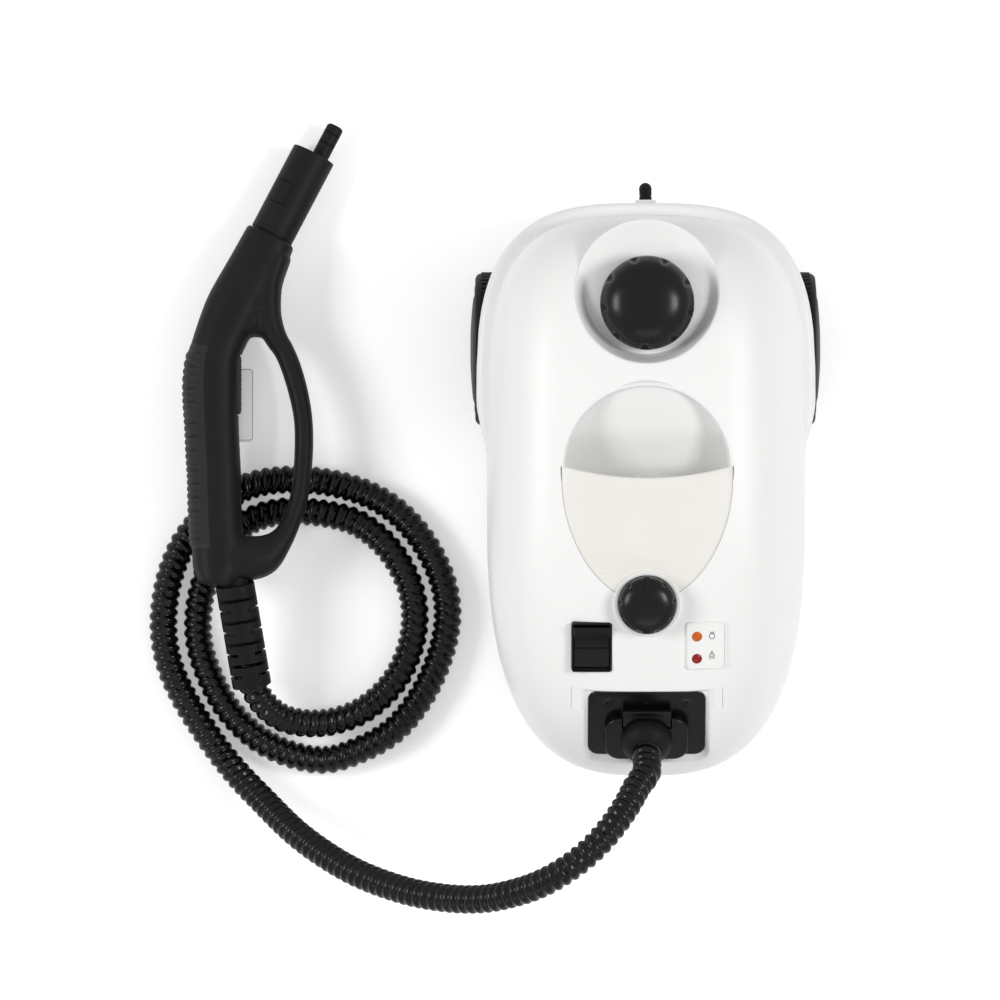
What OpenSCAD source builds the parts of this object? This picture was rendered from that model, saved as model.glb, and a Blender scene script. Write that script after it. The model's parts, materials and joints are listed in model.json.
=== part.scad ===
// Canister steam cleaner with a coiled hose and a steam gun

/* [Casing] */
// Length of the casing, front to back
body_l = 358; // [346:1:372]
// Width of the hood, and of the lower body in front of the wheels
hood_w = 199; // [192:1:204]
// Width of the lower body over the wheel fenders
fender_w = 212; // [208:1:220]
// How far the hood stands in from the lower body at the back
hood_step = 8; // [6:0.5:10]
// Height of the hood's crown above the floor
crown_z = 190; // [184:1:198]
// Height of the seam between the lower body and the hood
seam_z = 102; // [101:0.5:105]
// Height of the casing's underside
base_z = 24; // [22:0.5:26]
// Wall of the moulded shells
wall = 2.8; // [2.2:0.1:3.2]
// Thickness of the base plate
plate_t = 3; // [2.5:0.1:4]

/* [Wheels] */
// Radius of a rear wheel
wheel_r = 48.5; // [46:0.5:49]
// Width of a rear wheel
wheel_w = 22; // [18:1:24]
// Distance over the outer faces of the two wheels
track_w = 220; // [216:1:226]
// Depth of rubber on a wheel
tyre_t = 8; // [5:0.5:12]
// Radius of a wheel axle
axle_r = 5; // [4:0.25:6]
// Radius of the castor wheel
castor_r = 14; // [12:0.5:15]
// Width of the castor wheel
castor_w = 14; // [10:1:18]
// Distance from the castor's stem to its axle
castor_trail = 10; // [8:0.5:12]

/* [Boiler and filler] */
// Radius of the boiler
boiler_r = 48; // [44:0.5:50]
// Length of the boiler
boiler_l = 202; // [180:1:206]
// Sheet thickness of the boiler
boiler_t = 1.6; // [1.2:0.1:2.5]
// Radius of the filler dish
dish_r = 45; // [42:0.5:46]
// Radius of the boiler cap
cap_r = 29; // [26:0.5:31]
// Height of the boiler cap
cap_h = 27; // [22:0.5:30]
// Number of finger flutes round the boiler cap
cap_flutes = 9; // [8:1:16]
// Radius of the threaded stopper under the cap
stopper_r = 17.5; // [15:0.5:18.5]

/* [Hand grip and controls] */
// Radius of the hand scoop
scoop_r = 51.5; // [48:0.5:53]
// Depth of the hand scoop below the crown
scoop_d = 40; // [34:1:42]
// Radius of the pressure knob
knob_r = 18; // [16:0.5:19]
// Height of the pressure knob
knob_h = 15; // [12:0.5:18]
// Width of the power switch
switch_w = 25; // [22:0.5:28]
// Length of the power switch
switch_l = 32; // [28:0.5:36]
// Width and length of the indicator plate
lamp_plate = 25; // [22:0.5:30]
// Radius of an indicator lens
lens_r = 3.1; // [2.5:0.1:4]

/* [Hose socket] */
// Width of the socket panel
panel_w = 74; // [70:1:78]
// Length of the socket panel down the slope
panel_l = 52; // [50:1:56]
// Tilt of the socket panel from level, in degrees
panel_tilt = 40; // [36:1:44]
// Width of the hose plug
plug_w = 52; // [48:1:54]
// Length of the hose plug
plug_l = 33; // [31:1:34]

/* [Hose] */
// Outer diameter of the hose over its ribs
hose_d = 18.4; // [16:0.2:18.4]
// Depth of a hose rib
rib_depth = 1.3; // [0.8:0.1:1.6]
// Bore of the hose
hose_bore = 11; // [8:0.5:12]
// Number of ribs along the hose
hose_ribs = 180; // [60:10:200]

/* [Steam gun] */
// Thickness of the gun's grip
gun_t = 33.6; // [31:0.2:34]
// Thickness of the gun's finger guard
guard_t = 18; // [15:0.5:20]
// Wall of the gun's shells
gun_wall = 2.5; // [2:0.1:3]
// Outer radius of the nozzle tube
nozzle_r = 14; // [13:0.25:14]
// Length of the nozzle tube outside the gun
nozzle_l = 58; // [50:1:58]
// Radius of the steam pin
pin_r = 5; // [4:0.25:5.5]
// Length of the trigger
trigger_l = 37; // [32:1:38]
// Thickness of the trigger
trigger_t = 16; // [12:0.5:17]
// Tilt of the gun where it lies over the coil, in degrees
gun_tilt = 6; // [5.9:0.1:7]
// Outer radius of the bend relief sleeve
sleeve_r = 12.3; // [12:0.1:13]
// Length of the bend relief sleeve
sleeve_l = 66; // [60:1:72]

/* [Fits] */
// Gap between pieces that are laid or dropped together
seat_gap = 0.2; // [0.1:0.05:0.4]
// Radial clearance of a turning shaft
run_gap = 0.05; // [0.02:0.01:0.1]
// Gap round a piece that moves
move_gap = 0.6; // [0.4:0.1:1]

/* [Hidden] */
$fn = 48;

// Place of the casing's middle on the floor
machine_x = 90;
machine_y = -24.5;

// Plan of the casing
front_y = -body_l / 2;
rear_y = body_l / 2;
front_mid_y = -7;
rear_mid_y = 56;
front_n = 2.8;
rear_n = 3.1;
fender_start = 0.4;
plan_step = 10;
side_steps = 5;

// Arch of the hood
crown_y = 10;
hood_rear_y = rear_y - hood_step;
front_fall_n = 2.2;
front_fall_m = 2;
rear_fall_n = 5;
rear_fall_m = 2.8;
arch_n = 3;
arch_parts = 20;
station_end = 88;
station_step = 8;

// Rear wheels
wheel_y = 88;
wheel_z = wheel_r;
cup_gap = 2;
cup_r = wheel_r + cup_gap;
cup_x = track_w / 2 - wheel_w - 2;
boss_r = 9;
boss_l = 24;
hub_r = 12;
clip_r = 8;
clip_t = 1.2;
clip_depth = 4;

// Castor
castor_y = -128;
castor_z = castor_r;
fork_t = 2.4;
fork_gap = 0.5;
fork_out = castor_w / 2 + fork_gap + fork_t;
crown_t = 3;
fork_top = 2 * castor_r + 1.5;
castor_axle_r = 2.5;
stem_r = 5;
stem_l = 15;
bush_r = 9;
pocket_r = castor_trail + castor_r + 3;
pocket_z = fork_top + crown_t + move_gap;

// Boiler
boiler_lift = 11;
boiler_z = base_z + plate_t + boiler_lift + boiler_r;
boiler_y0 = -62;
boiler_round = 20;
cradle_y = [-20, 84];
cradle_w = 76;
cradle_t = 8;
cradle_h = 36;
element_r = 4;
element_x = 10;
element_l = 130;
flange_r = 20;
flange_t = 6;

// Filler
dish_y = 122.5;
dish_depth = 14;
dish_z = crown_z - dish_depth;
dish_floor_r = 39;
dish_edge = 0.8;
dish_t = 3;
dish_drop = 50;
cap_y = 115.5;
cap_z = dish_z + 2;
neck_r = stopper_r + 3.5;
neck_gap = 0.5;
stopper_l = 22;
seal_t = 2;
cap_dome_r = 44;
flute_r = 6;
flute_depth = 1.8;
cap_skirt = 8;

// Hand scoop and grip
scoop_y = 12.5;
scoop_floor = crown_z - scoop_d;
scoop_slope = 33.5;
pocket_front = 34;
grip_half = 53;
grip_wide_y = 4;
grip_l = 74;
grip_n = 1.8;
grip_bow = 7;
grip_rear_y = 7;
grip_parts = 8;

// Controls
knob_y = -71;
ring_r = knob_r + 2.6;
ring_t = 1.2;
ring_cup_d = 10;
spindle_r = 3;
spindle_h = 9;
bush_nose_r = 6;
valve_r = 13;
valve_l = 26;
pointer_w = 3;
switch_x = -34.4;
switch_y = -98;
switch_rim = 2;
switch_lip = 1.5;
switch_d = 16;
rocker_pin_r = 1.5;
rocker_rest = 7;
rocker_rise = 2.4;
rocker_d = 5;
lamp_x = 36.2;
lamp_y = -97;
lamp_proud = 0.4;
lamp_round = 3;
lamp_l = 1.24 * lamp_plate;
lens_dx = -5.4;
lens_dy = 7.2;
lens_off = -1.1;
lens_rise = 0.8;
lens_stem = 6;

// Hose socket, square to the panel
panel_y = -149.5;
panel_t = 5;
panel_sink = 6;
panel_boss_l = 14;
panel_boss_r = 12;
panel_round = 7;
tray_rim = 5;
tray_head = 1.5;
tray_t = 2.4;
tray_ear = 9;
tray_ear_l = 14;
plug_t = 8;
plug_round = 10;
plug_sink = 2;
latch_w = 30;
latch_l = 7;
latch_t = 4;
latch_travel = 1.8;
boot_r = 16;
boot_h = 12;
boot_round = 5.4;
screw_r = 1.8;
screw_head_r = 3.2;
screw_head_t = 2;

// Inner fittings
solenoid_x = 48;
solenoid_y = -84;
solenoid_w = 28;
solenoid_z = 62;
solenoid_h = 50;
pipe_r = 4;
pipe_knee_r = 6;
pipe_rise = 14;
pipe_back = 26;
inlet_x = 18;
inlet_dz = 14;
terminal_x = -46;
terminal_y = -86;
terminal_size = [40, 20, 16];
thermostat_y = 30;
thermostat_r = 11;
thermostat_h = 12;
gland_z = 62;
gland_r = 4;
gland_bore_r = 2.6;
gland_bend = 7;
gland_drop = 9;
collar_r = 6.9;
collar_l = 2.5;

// Gun, in its own plane, measured from the mouth of the nozzle tube
gun_at = [-118.5, 186.5, 14.4];
nose_dir = [0.462, 0.887];
gun_n = 2.5;
gun_parts = 8;
grip_line = [
    [-27, -52, 16.2], [-39.4, -76.9, 17.5], [-47.7, -91.3, 17.5], [-53.3, -103.3, 17.5],
    [-61.7, -124.8, 16.2], [-64, -140.4, 16.9], [-64, -156.1, 17], [-63.5, -171.8, 16.4],
    [-62.8, -187.5, 16.4], [-61.9, -203.2, 16.3], [-61.6, -219, 16.2], [-60.9, -234.7, 16.4],
    [-59.9, -250.4, 16.5], [-60.3, -264.2, 15.4], [-62.1, -273, 11]
];
guard_line = [
    [-22.8, -63.7, 9], [-28.4, -80.7, 9], [-29.6, -93.3, 9], [-28.6, -104.6, 8.6],
    [-23.8, -116.5, 7.2], [-18.7, -124.7, 6.5], [-14, -136, 6.4], [-9.5, -151.7, 6.2],
    [-6.6, -168, 5.9], [-6.1, -184.4, 5.9], [-7, -201, 5.8], [-9.1, -217.1, 5.8],
    [-13.7, -232.2, 5.8], [-20.7, -244.4, 7.8], [-31.6, -253.5, 13], [-45, -256.7, 13.7],
    [-56.5, -258, 12.5]
];
web_line = [[-56.5, -100.8, 10], [-44, -104.5, 9.4], [-31.5, -107.1, 9]];
nozzle_in = 12;
nozzle_bore_r = nozzle_r - 2.5;
nozzle_web = 4;
nozzle_step = 1;
pin_off = 4;
pin_out = 22.5;
pin_seal_r = 0.8;
pin_seal_at = [6, 13];
tab_s = [24, 39];
tab_w = 12;
tab_line = 0.7;
tab_d = 0.6;
tab_turn = 32;
trigger_u = -45.6;
trigger_v = -127.5;
trigger_d = 9.5;
trigger_pin_r = 2;
trigger_pin_in = 4;
trigger_boss_r = 4.5;
spring_r = 3.4;
spring_w = 5;
micro_size = [8, 14, 10];
plate_u = [-50.5, -38];
plate_v = [-181, -134.5];
plate_z = [-11.5, -9.6];
gun_screw_at = [[-43, -86], [-62, -186], [-58, -246]];
gun_screw_r = 1.6;
gun_boss_r = 4.2;
pad_span = [4, 12];
pad_angle = [125, 235];
pad_t = 1.4;
pad_rib = 0.8;
pad_ribs = 17;
pad_parts = 6;

// Bend relief sleeve, from the gun's tail to its mouth
sleeve_dir = [0.162, -0.972, -0.172];
sleeve_at = [-168, -84, 42.6];
sleeve_slots = 8;
sleeve_first = 9;
sleeve_last = 8;
sleeve_slot_w = 1.8;
sleeve_sink = 12;
spigot_r = 9;
mouth_gap = 1;
sleeve_slot_d = 7;
sleeve_hold = 22;

// Route of the hose on the floor, after it leaves the plug and before it enters the sleeve
floor_z = 9.4;
hose_route = [
    [84, -208.5, 178], [77.5, -220, 188], [68.5, -233, 195.5], [57, -246, 199.8], [44, -257, 199],
    [28, -267, 192], [11, -274, 178.5], [-11, -279, 160], [-36, -279, 139], [-64, -274, 115],
    [-95, -262.5, 87], [-126, -243, 56], [-152, -219, 27], [-171, -199, 12.5], [-188, -176, floor_z],
    [-202, -153, floor_z], [-210.5, -132, floor_z], [-213.5, -110, floor_z], [-211, -86, floor_z],
    [-204, -65, floor_z], [-194, -49, floor_z], [-179, -34, floor_z], [-161, -23, floor_z],
    [-138, -18.5, floor_z], [-111, -20, floor_z], [-86, -27, floor_z], [-66, -39, floor_z],
    [-50, -57, floor_z], [-39, -78, floor_z], [-34.5, -98, floor_z], [-36, -118, floor_z],
    [-43, -140, floor_z], [-54, -160, floor_z], [-69, -177, floor_z], [-88, -188, floor_z],
    [-110, -195, floor_z], [-132, -192, floor_z], [-154, -181.5, floor_z], [-172, -164, floor_z],
    [-184, -143, floor_z], [-191, -121, floor_z], [-191, -98, floor_z], [-185, -76, floor_z],
    [-174, -57, floor_z], [-158, -44, floor_z], [-138, -38.5, floor_z], [-114, -39.5, floor_z],
    [-93, -45, floor_z], [-77, -56, floor_z], [-65, -71, floor_z], [-57, -89, floor_z],
    [-55, -108, floor_z], [-59, -128, floor_z], [-69, -147, floor_z], [-85, -162, floor_z],
    [-103, -170, 11], [-121, -172, 16], [-138, -168.5, 22.5], [-150, -159, 28]
];
route_parts = 6;
bore_skip = 2;

// Curves and lofts

function spow(v, e) = sign(v) * pow(abs(v), e);
function ease(t) = t <= 0 ? 0 : t >= 1 ? 1 : t * t * (3 - 2 * t);
function unit(v) = v / norm(v);
function rest_of(u, n, m) = pow(max(0, 1 - pow(u, n)), 1 / m);

// Closed solid through rings of points that run anticlockwise round the way they are stacked
// A ring that is a bent strip has its ends closed piece by piece
module loft(rings, strip = false) {
    n = len(rings[0]);
    m = len(rings);
    ends = strip
        ? [for (i = [0 : n / 2 - 2]) [i, i + 1, n - 2 - i, n - 1 - i]]
        : [[for (i = [0 : n - 1]) i]];
    polyhedron(
        points = [for (ring = rings) each ring],
        faces = concat(
            ends,
            [for (end = ends) [for (i = [len(end) - 1 : -1 : 0]) (m - 1) * n + end[i]]],
            [for (j = [0 : m - 2], i = [0 : n - 1])
                let (a = j * n, b = a + n, k = (i + 1) % n)
                each [[a + i, b + i, b + k], [a + i, b + k, a + k]]]
        )
    );
}

// Shell through rings that run up the outside and back down the inside, the last joined to the first
module loop_loft(rings) {
    n = len(rings[0]);
    m = len(rings);
    polyhedron(
        points = [for (ring = rings) each ring],
        faces = [for (j = [0 : m - 1], i = [0 : n - 1])
            let (a = j * n, b = (j + 1) % m * n, k = (i + 1) % n)
            each [[a + i, b + i, b + k], [a + i, b + k, a + k]]]
    );
}

// Plate with four round corners, centred, standing on its own floor
module round_plate(w, l, t, r) {
    translate([-w / 2 + r, -l / 2, 0]) cube([w - 2 * r, l, t]);
    translate([-w / 2, -l / 2 + r, 0]) cube([w, l - 2 * r, t]);
    for (x = [-1, 1], y = [-1, 1])
        translate([x * (w / 2 - r), y * (l / 2 - r), 0]) cylinder(r = r, h = t);
}

// Turned body with its rims rounded: the top one, and the bottom one too where asked
module turned(r, h, c, both) {
    rotate_extrude() {
        translate([0, both ? c : 0]) square([r, h - c - (both ? c : 0)]);
        square([r - c, h]);
        translate([r - c, h - c]) circle(c);
        if (both) translate([r - c, c]) circle(c);
    }
}

module along_x(x, y, z) {
    translate([x, y, z]) rotate([0, 90, 0]) children();
}

module along_y(x, y, z) {
    translate([x, y, z]) rotate([-90, 0, 0]) children();
}

module both_sides() {
    children();
    mirror([1, 0, 0]) children();
}

module machine() {
    translate([machine_x, machine_y, 0]) children();
}

// Plan of the casing

function front_len(inset) = front_mid_y - front_y - inset;
function rear_len(inset, step) = rear_y - step - rear_mid_y - inset;
function front_half(inset) = hood_w / 2 - inset;
function rear_half(inset, step) = fender_w / 2 - step - inset;
function side_half(t, inset, step) =
    front_half(inset)
    + (rear_half(inset, step) - front_half(inset)) * ease((t - fender_start) / (1 - fender_start));
function side_y(t) = front_mid_y + (rear_mid_y - front_mid_y) * t;

// Half width at y, for an inset all round and a step in at the back
function plan_half(y, inset, step) =
    y < front_mid_y ? front_half(inset) * rest_of((front_mid_y - y) / front_len(inset), front_n, front_n)
    : y > rear_mid_y
        ? rear_half(inset, step) * rest_of((y - rear_mid_y) / rear_len(inset, step), rear_n, rear_n)
        : side_half((y - front_mid_y) / (rear_mid_y - front_mid_y), inset, step);

function arc_at(a, w, l, n) = [w * spow(cos(a), 2 / n), l * spow(sin(a), 2 / n)];

function plan_ring(inset, step, z) = concat(
    [for (a = [0 : plan_step : 180])
        let (p = arc_at(a, rear_half(inset, step), rear_len(inset, step), rear_n))
        [p[0], rear_mid_y + p[1], z]],
    [for (i = [side_steps - 1 : -1 : 1])
        [-side_half(i / side_steps, inset, step), side_y(i / side_steps), z]],
    [for (a = [180 : plan_step : 360])
        let (p = arc_at(a, front_half(inset), front_len(inset), front_n))
        [p[0], front_mid_y + p[1], z]],
    [for (i = [1 : side_steps - 1])
        [side_half(i / side_steps, inset, step), side_y(i / side_steps), z]]
);

// Arch of the hood

function fall(y, inset) =
    y < crown_y ? rest_of((crown_y - y) / (crown_y - front_y - inset), front_fall_n, front_fall_m)
    : rest_of((y - crown_y) / (hood_rear_y - inset - crown_y), rear_fall_n, rear_fall_m);
function hood_rise(y, inset) = (crown_z - inset - seam_z) * fall(y, inset);
function hood_z(x, y) =
    seam_z + hood_rise(y, 0) * rest_of(abs(x) / plan_half(y, 0, hood_step), arch_n, arch_n);
function hood_tilt(y) = atan(hood_z(0, y + 0.5) - hood_z(0, y - 0.5));
function station_y(b, inset) =
    crown_y + sin(b) * (b < 0 ? crown_y - front_y - inset : hood_rear_y - crown_y - inset);

function hood_ring(y, inset, drop) =
    let (w = plan_half(y, inset, hood_step), h = hood_rise(y, inset))
    concat(
        drop > 0 ? [[-w, y, seam_z - drop]] : [],
        [for (k = [0 : arch_parts])
            let (a = 180 - 180 * k / arch_parts)
            [w * spow(cos(a), 2 / arch_n), y, seam_z + h * pow(sin(a), 2 / arch_n)]],
        drop > 0 ? [[w, y, seam_z - drop]] : []
    );

module hood_block(inset, drop) {
    loft([for (b = [-station_end : station_step : station_end])
        hood_ring(station_y(b, inset), inset, drop)]);
}

module on_hood(x, y) {
    translate([x, y, hood_z(x, y)]) rotate([hood_tilt(y), 0, 0]) children();
}

// Lower body

foot_r = 6;
foot_step = 30;
cup_lift = foot_r / 3;
cup_inset = 0.7 * wall;
ledge_w = 4;
screw_edge = 7;
base_screw_y = [-100, 0, 152];
screw_boss_r = 6;
screw_boss_h = 18;
base_screw_l = 14;

function base_screw_x(y) = plan_half(y, foot_r + wall + seat_gap + screw_edge, 0);

module body_shell() {
    loop_loft(concat(
        [for (a = [0 : foot_step : 90])
            plan_ring(foot_r * (1 - sin(a)), 0, base_z + foot_r * (1 - cos(a)))],
        [plan_ring(0, 0, seam_z)],
        [for (z = [seam_z, seam_z - wall]) plan_ring(wall + ledge_w, hood_step, z)],
        [plan_ring(wall, 0, seam_z - wall)],
        [for (a = [90 : -foot_step : 0])
            plan_ring(wall + foot_r * (1 - sin(a)), 0, base_z + foot_r * (1 - cos(a)))]
    ));
}

module at_base_screws() {
    for (y = base_screw_y)
        both_sides() translate([base_screw_x(y), y, base_z]) children();
}

module lower_body() {
    boss_x = cup_x - wall - boss_l;
    color("white") machine() difference() {
        union() {
            body_shell();
            intersection() {
                translate([0, 0, base_z + cup_lift]) linear_extrude(seam_z - base_z - cup_lift - wall / 2)
                    polygon([for (p = plan_ring(cup_inset, 0, 0)) [p[0], p[1]]]);
                both_sides()
                    along_x(cup_x - wall, wheel_y, wheel_z) cylinder(r = cup_r + wall, h = track_w / 4);
            }
            both_sides() along_x(boss_x, wheel_y, wheel_z) cylinder(r = boss_r, h = boss_l + wall / 2);
            for (y = base_screw_y) both_sides() translate([base_screw_x(y), y, base_z + plate_t]) {
                cylinder(r = screw_boss_r, h = screw_boss_h);
                translate([0, -wall / 2, 0])
                    cube([plan_half(y, wall / 2, 0) - base_screw_x(y), wall, screw_boss_h]);
            }
        }
        both_sides() along_x(cup_x, wheel_y, wheel_z) cylinder(r = cup_r, h = track_w);
        both_sides() along_x(boss_x - 1, wheel_y, wheel_z) cylinder(r = axle_r + run_gap, h = track_w);
        at_base_screws() cylinder(r = screw_r + run_gap, h = plate_t + base_screw_l + 1);
        along_y(0, rear_y - 2 * wall, gland_z) cylinder(r = gland_r + run_gap, h = 3 * wall);
    }
}

module base_plate() {
    edge = [for (p = plan_ring(wall + foot_r + seat_gap, 0, 0)) [p[0], p[1]]];
    color("gainsboro") machine() difference() {
        union() {
            translate([0, 0, base_z]) linear_extrude(plate_t) polygon(edge);
            translate([0, castor_y, base_z])
                cylinder(r = pocket_r + wall, h = pocket_z + plate_t - base_z);
        }
        translate([0, castor_y, base_z - 1]) cylinder(r = pocket_r, h = pocket_z - base_z + 1);
        translate([0, castor_y, pocket_z - 1]) cylinder(r = bush_r + run_gap, h = plate_t + 2);
        both_sides() along_x(cup_x - wall - seat_gap, wheel_y, wheel_z)
            cylinder(r = cup_r + wall + seat_gap, h = track_w);
        at_base_screws() {
            translate([0, 0, -1]) cylinder(r = screw_r + run_gap, h = plate_t + 2);
            translate([0, 0, -1]) cylinder(r = screw_head_r + seat_gap, h = screw_head_t + 1);
        }
    }
}

module base_screws() {
    color("silver") machine() at_base_screws() {
        cylinder(r = screw_head_r, h = screw_head_t);
        cylinder(r = screw_r, h = plate_t + base_screw_l);
    }
}

// Hood and what is let into it

well_t = 2.5;
dish_lip = 1;
over = 1;
boss_fit_r = 12;

function grip_edge(b) =
    [grip_half * sqrt(1 - pow(sin(b), grip_n)), grip_wide_y - grip_l * sin(b)];
grip_end = 70;
grip_edge_step = 10;

module grip_outline(grow) {
    span = scoop_r + grow;
    polygon(concat(
        [for (i = [-grip_parts : grip_parts])
            let (x = span * i / grip_parts)
            [x, grip_rear_y + grow + grip_bow * pow(x / span, 2)]],
        [for (b = [0 : grip_edge_step : grip_end]) grip_edge(b) + [grow, 0]],
        [for (b = [grip_end : -grip_edge_step : 0]) let (p = grip_edge(b)) [-p[0] - grow, p[1]]]
    ));
}

module at_socket() {
    translate([0, panel_y, hood_z(0, panel_y)]) rotate([panel_tilt, 0, 0]) children();
}

tray_w = panel_w + 2 * tray_rim;
tray_low = -panel_l / 2 - tray_rim;
tray_top = panel_l / 2 + tray_head;
tray_floor = -panel_sink - panel_t;

// Outline of the socket recess with its two ears, grown by a margin, from a depth upwards
module recess(grow, low, ear_low, high) {
    translate([-tray_w / 2 - grow, tray_low - grow, low])
        cube([tray_w + 2 * grow, tray_top - tray_low + 2 * grow, high - low]);
    translate([-tray_w / 2 - tray_ear - grow, tray_top - tray_ear_l - grow, ear_low])
        cube([tray_w + 2 * tray_ear + 2 * grow, tray_ear_l + 2 * grow, high - ear_low]);
}

module hood() {
    reach = 30;
    color("white") machine() difference() {
        hood_block(0, 0);
        hood_block(wall, 1);
        translate([0, dish_y, seam_z - 1]) cylinder(r = dish_r + seat_gap, h = crown_z - seam_z + 2);
        intersection() {
            translate([0, scoop_y, scoop_floor]) cylinder(r = scoop_r, h = scoop_d + 1);
            translate([-scoop_r - 1, grip_rear_y, scoop_floor])
                cube([2 * scoop_r + 2, scoop_r * 2, scoop_d + 1]);
        }
        translate([0, 0, scoop_floor]) linear_extrude(scoop_d + 1) grip_outline(seat_gap);
        on_hood(0, knob_y) translate([0, 0, -reach / 2]) cylinder(r = boss_fit_r + seat_gap, h = reach);
        on_hood(switch_x, switch_y)
            cube([switch_w + 2 * seat_gap, switch_l + 2 * seat_gap, reach], center = true);
        on_hood(lamp_x, lamp_y)
            cube([lamp_plate + 2 * seat_gap, lamp_l + 2 * seat_gap, reach], center = true);
        at_socket() recess(tray_t + seat_gap, -reach, -reach, reach);
    }
}

module filler_dish() {
    low = dish_z - dish_drop;
    block = 2 * dish_r + 2;
    front_z = hood_z(0, dish_y - dish_r);
    color("white") machine() difference() {
        intersection() {
            translate([0, dish_y, low]) cylinder(r = dish_r, h = crown_z - low);
            union() {
                hood_block(0, 0);
                translate([-block / 2, dish_y - block / 2, low - 1]) cube([block, block, dish_drop + 1]);
            }
        }
        translate([0, dish_y, low - 1])
            cylinder(r = dish_r - wall, h = dish_drop - dish_lip - dish_t + 1);
        translate([0, dish_y, dish_z - dish_lip])
            cylinder(r1 = dish_floor_r, r2 = dish_r - dish_edge, h = front_z - dish_z + dish_lip + over);
        translate([0, cap_y, low]) cylinder(r = neck_r + seat_gap, h = dish_drop);
        boiler_block(-2 * move_gap);
    }
}

// Hollow of the scoop: a sloping floor that falls forward into a pocket under the grip
module scoop_space(grow) {
    big = 4 * scoop_r;
    intersection() {
        translate([0, scoop_y, 0]) cylinder(r = scoop_r + grow, h = crown_z + 1);
        translate([-big / 2, scoop_y - pocket_front - grow, scoop_floor - grow]) cube([big, big, big]);
        translate([0, scoop_y - grip_bow, scoop_floor - grow])
            rotate([scoop_slope, 0, 0]) translate([-big / 2, -big, 0]) cube([big, 2 * big, big]);
    }
}

module hand_well() {
    color("white") machine() intersection() {
        hood_block(wall, 1);
        difference() {
            scoop_space(well_t);
            scoop_space(0);
        }
    }
}

module grip_insert() {
    color("ivory") machine() difference() {
        intersection() {
            hood_block(0, 0);
            translate([0, 0, scoop_floor]) linear_extrude(scoop_d + 1) grip_outline(0);
        }
        hood_block(wall, 1);
        on_hood(0, knob_y) cylinder(r = boss_fit_r + seat_gap, h = 2 * knob_h, center = true);
    }
}

// Controls

module knob_bezel() {
    color("white") machine() on_hood(0, knob_y) difference() {
        union() {
            cylinder(r = ring_r, h = ring_t);
            translate([0, 0, -ring_cup_d]) cylinder(r = boss_fit_r, h = ring_cup_d);
        }
        translate([0, 0, -ring_cup_d - 1])
            cylinder(r = bush_nose_r + seat_gap, h = ring_cup_d + ring_t + 2);
    }
}

module pressure_knob() {
    low = ring_t + move_gap;
    color("black") machine() on_hood(0, knob_y) difference() {
        union() {
            translate([0, 0, low]) turned(knob_r, knob_h - low, knob_r / 3, false);
            translate([-pointer_w / 2, 0, knob_h - pointer_w])
                cube([pointer_w, knob_r * 0.9, pointer_w + ring_t]);
        }
        cylinder(r = spindle_r + run_gap, h = spindle_h + move_gap);
    }
}

module regulator_valve() {
    color("goldenrod") machine() on_hood(0, knob_y) {
        translate([0, 0, -ring_cup_d - valve_l]) cylinder(r = valve_r, h = valve_l);
        translate([0, 0, -ring_cup_d]) cylinder(r = bush_nose_r, h = ring_cup_d + ring_t);
        cylinder(r = spindle_r, h = spindle_h);
    }
}

module switch_bezel() {
    inner_w = switch_w - 2 * switch_rim;
    inner_l = switch_l - 2 * switch_rim;
    color("black") machine() on_hood(switch_x, switch_y) difference() {
        translate([-switch_w / 2, -switch_l / 2, -switch_d])
            cube([switch_w, switch_l, switch_d + switch_lip]);
        translate([-inner_w / 2, -inner_l / 2, -switch_d + switch_rim])
            cube([inner_w, inner_l, switch_d + switch_lip]);
        along_x(-switch_w / 2 + switch_rim / 2, 0, -switch_lip)
            cylinder(r = rocker_pin_r + run_gap, h = switch_w - switch_rim);
    }
}

module switch_rocker() {
    half_l = switch_l / 2 - switch_rim - move_gap;
    w = switch_w - 2 * switch_rim - 2 * move_gap;
    rise = switch_lip + rocker_rise;
    color("dimgray") machine() on_hood(switch_x, switch_y) translate([0, 0, -switch_lip])
        rotate([rocker_rest, 0, 0]) {
            along_x(-w / 2, 0, 0) rotate([0, 0, 90]) linear_extrude(w)
                polygon([[1 - half_l, -rocker_d], [half_l - 1, -rocker_d], [half_l, rise],
                    [0, switch_lip + 1], [-half_l, rise]]);
            along_x(-switch_w / 2 + switch_rim / 2 + run_gap, 0, 0)
                cylinder(r = rocker_pin_r, h = switch_w - switch_rim - 2 * run_gap);
        }
}

module indicator_plate() {
    color("whitesmoke") machine() on_hood(lamp_x, lamp_y) difference() {
        translate([0, 0, -wall]) round_plate(lamp_plate, lamp_l, wall + lamp_proud, lamp_round);
        for (s = [-1, 1]) translate([lens_dx, s * lens_dy + lens_off, -wall - 1])
            cylinder(r = lens_r + run_gap, h = wall + 2);
    }
}

module lens(side) {
    dome_r = (pow(lens_r, 2) + pow(lens_rise, 2)) / (2 * lens_rise);
    machine() on_hood(lamp_x, lamp_y) translate([lens_dx, side * lens_dy + lens_off, -lens_stem])
        intersection() {
            cylinder(r = lens_r, h = 2 * lens_stem);
            translate([0, 0, lens_stem + lamp_proud + lens_rise - dome_r]) sphere(dome_r);
        }
}

module lens_amber() {
    color("darkorange") lens(1);
}

module lens_red() {
    color("darkred") lens(-1);
}

// Hose socket and plug

plug_dy = -8.5;
socket_screw_at = [24.5, 17];

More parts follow.
